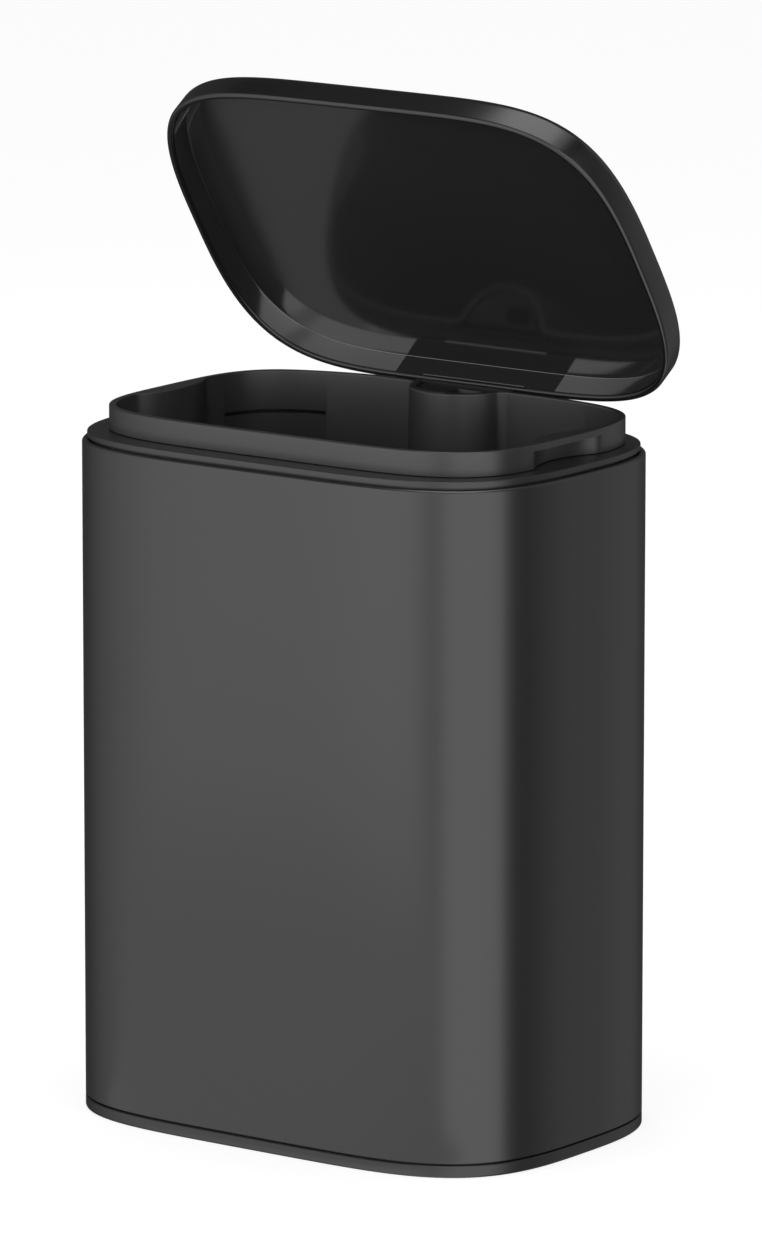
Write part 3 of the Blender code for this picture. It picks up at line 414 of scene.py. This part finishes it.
def softened(node, material, body, width):
    """A copy of a node, which stands for it: flat faces merged, edges rounded where width isn't 0."""
    mesh = frame["nodes"][node].data.copy()
    bm = bmesh.new()
    bm.from_mesh(mesh)
    bmesh.ops.remove_doubles(bm, verts=bm.verts, dist=MERGE_REACH)
    flat = math.radians(FLAT_ANGLE)
    bmesh.ops.dissolve_limit(bm, angle_limit=flat, verts=bm.verts, edges=bm.edges)
    bm.to_mesh(mesh)
    bm.free()
    mesh.materials.clear()
    mesh.materials.append(material)
    piece = bpy.data.objects.new(node + "_fine", mesh)
    bpy.context.scene.collection.objects.link(piece)
    if width:
        edge = piece.modifiers.new("edge", "BEVEL")
        edge.width = width
        edge.segments = BEVEL_SEGMENTS
        edge.limit_method = "ANGLE"
        edge.angle_limit = math.radians(BEVEL_ANGLE)
        applied(piece)
    else:
        dress(piece)
    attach(piece, body)
    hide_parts(node)
    return piece


# Materials

BLOTCH_SCALE = 18
BLOTCH_DETAIL = 2


def make_blotch_group():
    """Broad noise as a small change of roughness."""
    group = bpy.data.node_groups.new("uneven_roughness", "ShaderNodeTree")
    socket = group.interface.new_socket
    socket("Roughness", in_out="INPUT", socket_type="NodeSocketFloat")
    socket("Spread", in_out="INPUT", socket_type="NodeSocketFloat")
    socket("Roughness", in_out="OUTPUT", socket_type="NodeSocketFloat")
    nodes, links = group.nodes, group.links
    given = nodes.new("NodeGroupInput")
    out = nodes.new("NodeGroupOutput")
    place = nodes.new("ShaderNodeTexCoord")
    broad = nodes.new("ShaderNodeTexNoise")
    broad.inputs["Scale"].default_value = BLOTCH_SCALE
    broad.inputs["Detail"].default_value = BLOTCH_DETAIL
    links.new(place.outputs["Object"], broad.inputs["Vector"])
    centred = nodes.new("ShaderNodeMath")
    centred.operation = "SUBTRACT"
    centred.inputs[1].default_value = 0.5
    links.new(broad.outputs["Fac"], centred.inputs[0])
    spread = nodes.new("ShaderNodeMath")
    spread.operation = "MULTIPLY_ADD"
    links.new(centred.outputs[0], spread.inputs[0])
    links.new(given.outputs["Spread"], spread.inputs[1])
    links.new(given.outputs["Roughness"], spread.inputs[2])
    links.new(spread.outputs[0], out.inputs["Roughness"])
    return group


BLOTCHES = make_blotch_group()


def make_finish(name, colour, roughness, metallic=0.0, ior=1.5, spread=0.04):
    """A Principled shader whose roughness varies a little from place to place."""
    material = bpy.data.materials.new(name)
    material.use_nodes = True
    nodes, links = material.node_tree.nodes, material.node_tree.links
    shader = nodes["Principled BSDF"]
    shader.inputs["Base Color"].default_value = (*colour, 1)
    shader.inputs["Metallic"].default_value = metallic
    shader.inputs["IOR"].default_value = ior
    uneven = nodes.new("ShaderNodeGroup")
    uneven.node_tree = BLOTCHES
    uneven.inputs["Roughness"].default_value = roughness
    uneven.inputs["Spread"].default_value = spread
    links.new(uneven.outputs["Roughness"], shader.inputs["Roughness"])
    return material


coated_sheet = make_finish("satin_coated_sheet", (0.018, 0.018, 0.0185), 0.25, ior=1.85)
lid_sheet = make_finish("dark_coated_lid", (0.012, 0.012, 0.0122), 0.24, ior=1.8)
bucket_plastic = make_finish("bucket_plastic", (0.028, 0.028, 0.0285), 0.30, ior=1.8)
shoulder_plastic = make_finish("shoulder_plastic", (0.016, 0.016, 0.0162), 0.32, ior=1.8)
gloss_plastic = make_finish("lid_dish_plastic", (0.031, 0.031, 0.031), 0.12, ior=3.0, spread=0.02)
# Painted shade: dull, weakly reflecting finish of the strip that keeps the middle of the dish's skirt
# dark
shade_strip_plastic = make_finish("painted_shade_strip_matt", (0.026, 0.026, 0.026), 0.60, ior=1.1)
hardware = make_finish("dark_hardware", (0.020, 0.020, 0.021), 0.42)
moulded = make_finish("moulded_fittings", (0.020, 0.020, 0.020), 0.38)
steel = make_finish("zinc_steel", (0.55, 0.55, 0.56), 0.30, metallic=1.0)
bush_plastic = make_finish("bush_plastic", (0.60, 0.59, 0.55), 0.45)


# Casing

def build_sleeve():
    """Sheet bent to the outline; its section rolls inwards at the top."""
    low, high = SLEEVE_LOW[2], SLEEVE_HIGH[2]
    centre = high - HEM_RADIUS
    hem = 2 * HEM_RADIUS
    section = [(0, low)]
    section += bend(HEM_RADIUS, centre, HEM_RADIUS, 180, 0, HEM_STEPS)
    section += [(hem, centre - HEM_RETURN), (hem - SHEET, centre - HEM_RETURN)]
    section += bend(HEM_RADIUS, centre, HEM_RADIUS - SHEET, 0, 180, INNER_SIDE_STEPS)
    section += [(SHEET, low)]
    shell = skin(swept(body_outline, section), True)
    make_piece("body_sleeve_fine", shell, coated_sheet, "bin", ["body_sleeve"])


def build_base():
    """Plinth with a round lower edge, shadow groove, spigot, floor and ribs underneath."""
    low, high = BASE_LOW[2], BASE_HIGH[2]
    sleeve = SLEEVE_LOW[2]
    spigot = SHEET + FIT_GAP
    floor = low + FOOT_RECESS + BASE_FLOOR
    section = [(FOOT_WIDTH, low + FOOT_RECESS), (FOOT_WIDTH, low)]
    section += bend(PLINTH_ROUND, low + PLINTH_ROUND, PLINTH_ROUND, 270, 180, PLINTH_STEPS)
    section += [
        (0, low + PLINTH_HEIGHT - FIT_GAP),
        (FIT_GAP, low + PLINTH_HEIGHT),
        (GROOVE_DEPTH, low + PLINTH_HEIGHT),
        (GROOVE_DEPTH, sleeve),
        (spigot, sleeve + GROOVE_HEIGHT),
        (spigot, high - SPIGOT_WALL / 2),
        (spigot + SPIGOT_WALL / 2, high),
        (spigot + SPIGOT_WALL, high),
        (spigot + 1.5 * SPIGOT_WALL, floor),
    ]
    shell = skin(swept(body_outline, section), False)
    reach = HALF_WIDTH - FOOT_WIDTH
    span = HALF_DEPTH - FOOT_WIDTH
    top = low + FOOT_RECESS + BASE_FLOOR / 2
    ribs = [
        cuboid(
            (CENTRE[0] + place - RIB_WIDTH / 2, CENTRE[1] - span, low),
            (CENTRE[0] + place + RIB_WIDTH / 2, CENTRE[1] + span, top),
        )
        for place in (-reach / 2, 0, reach / 2)
    ]
    ribs.append(
        cuboid(
            (CENTRE[0] - reach, CENTRE[1] - RIB_WIDTH / 2, low),
            (CENTRE[0] + reach, CENTRE[1] + RIB_WIDTH / 2, top),
        )
    )
    piece = make_piece(
        "base_moulding_fine", shell, shoulder_plastic, "bin", ["base_moulding"]
    )
    cut(piece, ribs, "UNION")


def build_ring():
    """Shoulder plate with a soft-edged lip, a hole for the bucket and a skirt in the sleeve."""
    top, bottom = RING_TOP, RING_TOP - RING_THICKNESS
    skirt = 2 * HEM_RADIUS + FIT_GAP
    seat = COLLAR_WALL - BUCKET_SEAT + FIT_GAP
    centre = top - RING_ROUND
    lip = swept(body_outline, [(RING_LIP_INSET, bottom)]
                + bend(RING_LIP_INSET + RING_ROUND, centre, RING_ROUND, 180, 90, LIP_STEPS))
    hole = [level(opening_outline(seat), top), level(opening_outline(seat), bottom)]
    fall = swept(body_outline, [
        (skirt + RING_SKIRT_WALL, bottom),
        (skirt + RING_SKIRT_WALL, RING_LOW[2]),
        (skirt, RING_LOW[2]),
        (skirt, bottom),
    ])
    shell = skin(lip + hole + fall, True)
    make_piece("top_ring_fine", shell, shoulder_plastic, "bin", ["top_ring"])


def collar_lift(row):
    """Rise of the collar's back, which grows as 3s^2 - 2s^3 between two places in X and in Y."""
    low, high = np.array(COLLAR_LIFT_FROM), np.array(COLLAR_LIFT_TO)
    share = np.clip((row[:, :2] - CENTRE[:2] - low) / (high - low), 0, 1)
    return COLLAR_LIFT * (share**2 * (3 - 2 * share)).prod(1)


def build_bucket():
    """Thin wall swept along the collar, two grips and the column, with a rounded floor."""
    seat = COLLAR_WALL - BUCKET_SEAT
    foot = RING_TOP + FIT_GAP
    under = UNDERSIDE + FOOT_RECESS + BASE_FLOOR + BUCKET_FLOOR_RISE
    over = under + BUCKET_WALL
    bow = BUCKET_FLOOR_ROUND
    inner_bow = bow - BUCKET_WALL
    edge = COLLAR_ROUND
    top = COLLAR_TOP

    def inward(section, scoop=True):
        return [level(bucket_outline(-inset, scoop), height) for inset, height in section]

    outer = bend(BUCKET_DRAFT - BUCKET_WALL + bow, under + bow, bow, 270, 180, FLOOR_STEPS)
    outer += [(-seat, foot), (-COLLAR_WALL, foot), (-COLLAR_WALL, top - GRIP_BAND - FIT_GAP / 2)]
    band = [(-COLLAR_WALL, top - GRIP_BAND)]
    band += bend(edge - COLLAR_WALL, top - edge, edge, 180, 90, LIP_STEPS)
    inner = bend(-edge, top - edge, edge, 90, 0, LIP_STEPS)
    inner += bend(BUCKET_DRAFT + inner_bow, over + inner_bow, inner_bow, 180, 270, FLOOR_STEPS)
    rows = inward(outer) + inward(band, False) + inward(inner)
    for row in rows:
        row[:, 2] += np.where(row[:, 2] > top - GRIP_BAND, collar_lift(row), 0)
    return make_piece(
        "inner_bucket_fine", skin(rows, False), bucket_plastic, "bin",
        ["inner_bucket"],
    )


def slit_shells():
    """Slab across each back corner, which cuts a slit from the side wall to the back wall."""
    low = COLLAR_TOP - SLIT_DROP - SLIT_HEIGHT / 2
    high = low + SLIT_HEIGHT
    half = BUCKET_HALF
    far = half + OVERRUN
    side_y = half[1] * SLIT_SIDE_SHARE
    back_x = half[0] * SLIT_BACK_SHARE
    shells = []
    for side in (-1, 1):
        chord = np.array([
            (side * far[0], side_y),
            (side * (half[0] - COLLAR_WALL), side_y),
            (side * back_x, half[1] - COLLAR_WALL),
            (side * back_x, far[1]),
            (side * far[0], far[1]),
        ])
        chord += (0, BUCKET_CENTRE[1])
        shells.append(skin([level(chord, low), level(chord, high)], False))
    return shells


def tab_shell():
    """Low tab on the column's rim, between two shares of the column's half turn."""
    turn = math.pi * (1 + np.linspace(*TAB_SHARES, TAB_POINTS))
    centre = BUCKET_CENTRE[1] + BUCKET_HALF[1] - COLLAR_WALL + COLUMN_SETBACK
    outer, inner = COLUMN_RADIUS - FIT_GAP, COLUMN_RADIUS - COLLAR_WALL + FIT_GAP
    line = np.concatenate([
        np.stack([outer * np.cos(turn), centre + outer * np.sin(turn)], -1),
        np.stack([inner * np.cos(turn[::-1]), centre + inner * np.sin(turn[::-1])], -1),
    ])
    return skin([level(line, COLLAR_TOP - COLLAR_WALL), level(line, COLLAR_TOP + TAB_HEIGHT)], False)


# Lid

LID_BACK = CENTRE[1] + HALF_DEPTH


def build_lid_skin():
    """Outer skin with a rounded edge, and a rim rolled inwards into a round bead."""
    edge = LID_RIM + LID_EDGE_HEIGHT - LID_EDGE_RADIUS
    low = LID_RIM + LID_RIM_ROUND
    hem = LID_RIM + LID_HEM_RETURN
    outer = bend(LID_EDGE_RADIUS, edge, LID_EDGE_RADIUS, 90, 180, LID_EDGE_STEPS)
    outer += bend(LID_RIM_ROUND, low, LID_RIM_ROUND, 180, 270, BEAD_STEPS)
    outer += bend(LID_RIM_WIDTH - LID_RIM_ROUND, low, LID_RIM_ROUND, 270, 360, BEAD_STEPS)
    outer += [(LID_RIM_WIDTH, hem), (LID_RIM_WIDTH - SHEET, hem)]
    inner = [(LID_RIM_WIDTH - SHEET, low), (SHEET, low)]
    inner += bend(LID_EDGE_RADIUS, edge, LID_EDGE_RADIUS - SHEET, 180, 90, INNER_SIDE_STEPS)
    skirt = swept(lid_outline, outer + inner)
    rows = roofed(skirt[0], LID_CROWN, LID_ROOF_ROWS)[::-1] + skirt
    rows += roofed(skirt[-1], LID_CROWN, LID_ROOF_ROWS)
    shell = skin([opened(row) for row in rows], False)
    return make_piece("lid_shell_fine", shell, lid_sheet, "lid", ["lid_shell"])


def build_dish():
    """Dish inside the lid: steep skirt, small crease fillet and a roof with a flat crown."""
    crease = LINER_CREASE_INSET
    fillet = LINER_FILLET
    inner_face = bend(crease + fillet, LINER_ROOF - fillet, fillet, 90, LINER_LEAN, CREASE_STEPS)
    inner_face += [(LINER_INSET + SEAM, LINER_FOOT)]
    outer_face = [
        (LINER_INSET, LINER_FOOT + SEAM),
        (LINER_INSET, LID_RIM + LID_HEM_RETURN),
        (crease - LINER_WALL, LINER_ROOF),
        (crease - LINER_WALL / 2, LINER_ROOF + LINER_WALL),
    ]
    skirt = swept(lid_outline, inner_face + outer_face)
    rows = roofed(skirt[0], LINER_CROWN, DISH_ROOF_ROWS, LINER_CROWN_POWER)[::-1] + skirt
    rows += roofed(skirt[-1], LINER_CROWN, DISH_BACK_ROWS, LINER_CROWN_POWER)
    shell = skin([opened(row) for row in rows], False)
    make_piece("lid_liner_fine", shell, gloss_plastic, "lid", ["lid_liner"])


def build_shade_strip():
    """Painted shade: thin matt strip on the middle of the dish's skirt at the hinge, dull so that
    this stretch stays dark between the reflections beside it.
    """
    section = [
        (LINER_INSET + 2 * SEAM, LINER_FOOT + SEAM),
        (LINER_CREASE_INSET + SEAM, LINER_ROOF - LINER_FILLET),
        (LINER_CREASE_INSET - SHADE_STRIP_SINK, LINER_ROOF - LINER_FILLET),
        (LINER_INSET, LINER_FOOT + SEAM),
    ]
    edge = lid_outline(0)
    pick = (np.abs(edge[:, 0]) < SHADE_STRIP_WIDTH / 2) & (edge[:, 1] > CENTRE[1])
    lines = [opened(level(lid_outline(inset)[pick], height)) for inset, height in section]
    rows = list(np.stack(lines, 1))
    make_piece("lid_painted_shade_strip", skin(rows, False), shade_strip_plastic, "lid")


def tongue_slab(deep, shallow):
    """Slab round the leaf's tongue, with a gap to it, between two insets at the lid's back."""
    half = TONGUE_WIDTH / 2 + FIT_GAP
    low = LID_RIM + TONGUE_RISE - FIT_GAP
    high = low + TONGUE_THICKNESS + 2 * FIT_GAP
    vertices, faces = cuboid((-half, LID_BACK - deep, low), (half, LID_BACK - shallow, high))
    return opened(vertices), faces


def build_tongue_end_highlight():
    """End of the leaf's tongue, a thin line along the foot of the dish's skirt, drawn in light steel
    instead of the leaf's dark finish as a painted highlight line.
    """
    low = LID_RIM + TONGUE_END_RISE
    half = TONGUE_END_WIDTH / 2
    vertices, faces = cuboid(
        (-half, LID_BACK - TONGUE_END_REACH, low),
        (half, LID_BACK - LINER_INSET, low + TONGUE_END_THICKNESS),
    )
    make_piece("lid_tongue_end_highlight", (opened(vertices), faces), steel, "lid")


def build_guard():
    """Guard on the shoulder that closes the back of the bucket's column."""
    face = BUCKET_HIGH[1] + FIT_GAP
    shell = cuboid(
        (-GUARD_WIDTH / 2, face, RING_TOP),
        (GUARD_WIDTH / 2, face + GUARD_THICKNESS, GUARD_TOP),
    )
    make_piece("housing_guard", shell, moulded, "bin")


build_sleeve()
build_base()
build_ring()
bucket = build_bucket()
cut(bucket, slit_shells())
cut(bucket, [tab_shell()], "UNION")
lid_skin = build_lid_skin()
build_dish()
# Painted shade strip on the middle of the dish's skirt
build_shade_strip()
cut(lid_skin, [tongue_slab(LINER_INSET, -OVERRUN)])
# The leaf's tongue end, drawn in light steel as a painted highlight line
build_tongue_end_highlight()
build_guard()


# Fittings

softened("hinge_base", hardware, "bin", MOULDED_EDGE)
leaf = softened("hinge_leaf", hardware, "lid", LEAF_EDGE)
cut(leaf, [tongue_slab(TONGUE_REACH, LID_RIM_WIDTH)])
softened("wall_plate", hardware, "wall_mount", PLATE_EDGE)
for node in ("hinge_pillar", "hanger_block"):
    softened(node, moulded, "bin", MOULDED_EDGE)
for node in frame["nodes"]:
    if "screw" in node or node in ("hinge_pin", "pin_clip_left", "pin_clip_right"):
        softened(node, steel, "bin", 0)
    if node.startswith("hinge_bush"):
        softened(node, bush_plastic, "lid", 0)


# Studio

def direction(azimuth, elevation):
    """Unit vector towards a place round the object; azimuth 0 is the front, 90 the right."""
    a, e = math.radians(azimuth), math.radians(elevation)
    return Vector((math.sin(a) * math.cos(e), -math.cos(a) * math.cos(e), math.sin(e)))


AIM_HEIGHT = 0.150
TARGET = Vector((0, CENTRE[1], UNDERSIDE + AIM_HEIGHT))


def backdrop_rays(nodes, links):
    """One for the rays that see the backdrop as white, zero for those that light the object."""
    path = nodes.new("ShaderNodeLightPath")
    total = path.outputs["Is Camera Ray"]
    for kind in ("Is Glossy Ray", "Is Transmission Ray"):
        either = nodes.new("ShaderNodeMath")
        either.operation = "MAXIMUM"
        links.new(total, either.inputs[0])
        links.new(path.outputs[kind], either.inputs[1])
        total = either.outputs[0]
    return total


def make_matt(name, colour, glow=0.0):
    """Matt material of one grey that may also glow; returned with its nodes, links and shader."""
    material = bpy.data.materials.new(name)
    material.use_nodes = True
    nodes, links = material.node_tree.nodes, material.node_tree.links
    shader = nodes["Principled BSDF"]
    shader.inputs["Base Color"].default_value = (colour, colour, colour, 1)
    shader.inputs["Roughness"].default_value = 1
    shader.inputs["Specular IOR Level"].default_value = 0
    shader.inputs["Emission Color"].default_value = (1, 1, 1, 1)
    shader.inputs["Emission Strength"].default_value = glow
    return material, nodes, links, shader


def make_floor_material(albedo, glow):
    """Pale floor that also glows for the rays that see the backdrop, so that it reads as white."""
    material, nodes, links, shader = make_matt("pale_floor", albedo)
    strength = nodes.new("ShaderNodeMath")
    strength.operation = "MULTIPLY"
    strength.inputs[1].default_value = glow
    links.new(backdrop_rays(nodes, links), strength.inputs[0])
    links.new(strength.outputs[0], shader.inputs["Emission Strength"])
    return material


def make_tent_material(stops):
    """Cloth whose brightness changes with the azimuth, from white down to dark grey."""
    material, nodes, links, shader = make_matt("tent_cloth", 0, 1)
    place = nodes.new("ShaderNodeTexCoord")
    split = nodes.new("ShaderNodeSeparateXYZ")
    links.new(place.outputs["Object"], split.inputs[0])
    forward = nodes.new("ShaderNodeMath")
    forward.operation = "SUBTRACT"
    forward.inputs[0].default_value = CENTRE[1]
    links.new(split.outputs["Y"], forward.inputs[1])
    turn = nodes.new("ShaderNodeMath")
    turn.operation = "ARCTAN2"
    links.new(split.outputs["X"], turn.inputs[0])
    links.new(forward.outputs[0], turn.inputs[1])
    share = nodes.new("ShaderNodeMapRange")
    share.inputs["From Min"].default_value = -math.pi
    share.inputs["From Max"].default_value = math.pi
    links.new(turn.outputs[0], share.inputs["Value"])
    ramp = nodes.new("ShaderNodeValToRGB")
    for azimuth, brightness in stops:
        stop = ramp.color_ramp.elements.new((azimuth + 180) / 360)
        stop.color = (brightness, brightness, brightness, 1)
    ramp.color_ramp.elements.remove(ramp.color_ramp.elements[0])
    ramp.color_ramp.elements.remove(ramp.color_ramp.elements[-1])
    links.new(share.outputs["Result"], ramp.inputs["Fac"])
    links.new(ramp.outputs["Color"], shader.inputs["Emission Color"])
    return material


CLOTH_FADE = (0.55, 0.72)


def make_level_cloth_material(brightness, raised):
    """Even grey cloth; a raised one lets rays at a shallow slant through."""
    material, nodes, links, shader = make_matt("grey_cloth", 0, brightness)
    if raised:
        slant = nodes.new("ShaderNodeLayerWeight")
        share = nodes.new("ShaderNodeMapRange")
        share.inputs["From Min"].default_value = CLOTH_FADE[0]
        share.inputs["From Max"].default_value = CLOTH_FADE[1]
        links.new(slant.outputs["Facing"], share.inputs["Value"])
        clear = nodes.new("ShaderNodeBsdfTransparent")
        mix = nodes.new("ShaderNodeMixShader")
        links.new(share.outputs["Result"], mix.inputs[0])
        links.new(shader.outputs[0], mix.inputs[1])
        links.new(clear.outputs[0], mix.inputs[2])
        links.new(mix.outputs[0], nodes["Material Output"].inputs["Surface"])
    return material


def add_stage(name, vertices, faces, material):
    mesh = bpy.data.meshes.new(name)
    mesh.from_pydata(vertices, [], faces)
    mesh.materials.append(material)
    stage = bpy.data.objects.new(name, mesh)
    bpy.context.scene.collection.objects.link(stage)
    return stage


def only_mirrored(stage):
    """Lets nothing but reflections see a stage piece."""
    stage.visible_camera = False
    stage.visible_diffuse = False
    stage.visible_shadow = False
    stage.visible_transmission = False


TENT_DISTANCE = 2.4
TENT_COLUMNS = 25
TENT_ROWS = 13


def add_round_cloth(name, low, high, material):
    """Cloth all round the object, between two elevations in degrees, that only reflections show."""
    points = [
        TARGET + direction(azimuth, elevation) * TENT_DISTANCE
        for elevation in np.linspace(low, high, TENT_ROWS)
        for azimuth in np.linspace(-180, 180, TENT_COLUMNS)
    ]
    start = np.arange(TENT_ROWS - 1)[:, None] * TENT_COLUMNS + np.arange(TENT_COLUMNS - 1)
    after = start + TENT_COLUMNS
    faces = np.stack([start, start + 1, after + 1, after], -1).reshape(-1, 4).tolist()
    only_mirrored(add_stage(name, [tuple(point) for point in points], faces, material))


def add_level_cloth(name, outline, height, brightness):
    """Level cloth above the floor that only reflections show; places are from the casing's middle."""
    points = [(x, CENTRE[1] + y, UNDERSIDE + height) for x, y in outline]
    material = make_level_cloth_material(brightness, height > 0)
    only_mirrored(add_stage(name, points, [tuple(range(len(points)))], material))


FLOOR_REACH = 6.0
FLOOR_ALBEDO = 0.42
FLOOR_GLOW = 0.75
floor = add_stage(
    "studio_floor",
    [(x * FLOOR_REACH, y * FLOOR_REACH, UNDERSIDE) for x, y in ((-1, -1), (1, -1), (1, 1), (-1, 1))],
    [(0, 1, 2, 3)],
    make_floor_material(FLOOR_ALBEDO, FLOOR_GLOW),
)
floor.visible_glossy = False

# Azimuth in degrees and brightness of the tent
TENT_STOPS = (
    (-179.9, 0.09), (-165, 0.07), (-110, 0.06), (-95, 0.11), (-80, 0.26), (-65, 0.42), (-50, 0.61),
    (-38, 0.83), (-25, 0.94), (2, 0.94), (13, 0.60), (22, 0.62), (32, 1.00), (89, 1.00), (97, 0.28),
    (105, 0.07), (118, 0.11), (135, 0.22), (150, 0.30), (165, 0.24), (179.9, 0.11),
)
TENT_FOOT = -75
TENT_TOP = 44
COVER_TOP = 67
COVER_COLOUR = 0.02
add_round_cloth("flag_above", TENT_TOP, COVER_TOP, make_matt("dark_cloth", COVER_COLOUR)[0])
add_round_cloth("tent", TENT_FOOT, TENT_TOP, make_tent_material(TENT_STOPS))

# The two raised cloths beside the casing meet along a line, and a third lies on the floor in front
RAISED = 0.12
MEETING_LINE = (
    (-0.262, -0.070), (-0.247, -0.043), (-0.228, -0.014), (-0.214, 0.004), (-0.200, 0.020),
    (-0.190, 0.034), (-0.175, 0.060),
)
FRONT_OUTLINE = ((-0.47, -0.39), (-0.36, -0.60), (0.10, -0.60), (0.10, -0.066), (-0.09, -0.066))
BAND_OUTLINE = MEETING_LINE + (
    (-0.150, 0.058), (-0.115, 0.030), (-0.100, 0.020), (-0.100, -0.110), (-0.262, -0.110),
)
LEFT_OUTLINE = MEETING_LINE + ((-0.200, 0.110), (-0.330, 0.020), (-0.330, -0.070))

# Name, outline, height and brightness
LEVEL_CLOTHS = (
    ("cloth_front", FRONT_OUTLINE, 0, 0.60),
    ("cloth_band", BAND_OUTLINE, RAISED, 0.105),
    ("cloth_left", LEFT_OUTLINE, RAISED, 0),
)
for entry in LEVEL_CLOTHS:
    add_level_cloth(*entry)


def add_softbox(name, azimuth, elevation, distance, width, height, radiance, mirrored=False):
    """Area lamp facing the object, whose power gives its panel the stated brightness."""
    lamp = bpy.data.lights.new(name, "AREA")
    lamp.shape = "RECTANGLE"
    lamp.size = width
    lamp.size_y = height
    lamp.energy = radiance * width * height * math.pi
    holder = bpy.data.objects.new(name, lamp)
    holder.location = TARGET + direction(azimuth, elevation) * distance
    holder.rotation_mode = "QUATERNION"
    holder.rotation_quaternion = direction(azimuth, elevation).to_track_quat("Z", "Y")
    holder.visible_camera = False
    holder.visible_glossy = mirrored
    bpy.context.scene.collection.objects.link(holder)


# Name, azimuth and elevation in degrees, distance, width, height, brightness, seen in reflections
SOFTBOXES = (
    ("front_left_box", -55, 14, 1.5, 0.9, 0.8, 1.0),
    ("front_box", -22, 14, 1.5, 0.9, 0.8, 1.6),
    ("front_right_box", 12, 14, 1.5, 0.9, 0.8, 1.6),
    ("corner_strip", 66, 16, 1.5, 0.35, 1.0, 1.9),
    ("right_back_box", 150, 14, 1.5, 0.8, 0.8, 0.9),
    ("left_back_box", -110, 14, 1.5, 0.8, 0.8, 0.5),
    ("top_box", 105, 82, 1.6, 1.45, 1.40, 0.72, True),
)
for entry in SOFTBOXES:
    add_softbox(*entry)

# The world is white for the rays that see the backdrop and dimmer for those that light
FILL = 0.5
world = bpy.data.worlds.new("studio")
bpy.context.scene.world = world
world.use_nodes = True
nodes, links = world.node_tree.nodes, world.node_tree.links
background = nodes["Background"]
background.inputs["Color"].default_value = (1, 1, 1, 1)
strength = nodes.new("ShaderNodeMapRange")
strength.inputs["To Min"].default_value = FILL
strength.inputs["To Max"].default_value = 1
links.new(backdrop_rays(nodes, links), strength.inputs["Value"])
links.new(strength.outputs["Result"], background.inputs["Strength"])


# Camera

CAMERA_AZIMUTH = 36.431
CAMERA_ELEVATION = 11.661
CAMERA_DISTANCE = 3.1265
CAMERA_SHIFT = (0.01448, 0.03247)
SENSOR = 36
PHOTO_HEIGHT = 1256
PHOTO_FOCAL_PIXELS = 9541.4

camera_data = bpy.data.cameras.new("camera")
camera_data.sensor_width = SENSOR
camera_data.lens = PHOTO_FOCAL_PIXELS * SENSOR / PHOTO_HEIGHT
camera_data.shift_x, camera_data.shift_y = CAMERA_SHIFT
camera = bpy.data.objects.new("camera", camera_data)
camera.rotation_mode = "QUATERNION"
back = direction(CAMERA_AZIMUTH, CAMERA_ELEVATION)
camera.location = TARGET + back * CAMERA_DISTANCE
camera.rotation_quaternion = back.to_track_quat("Z", "Y")
bpy.context.scene.collection.objects.link(camera)
bpy.context.scene.camera = camera
bpy.context.scene.view_settings.view_transform = "Standard"
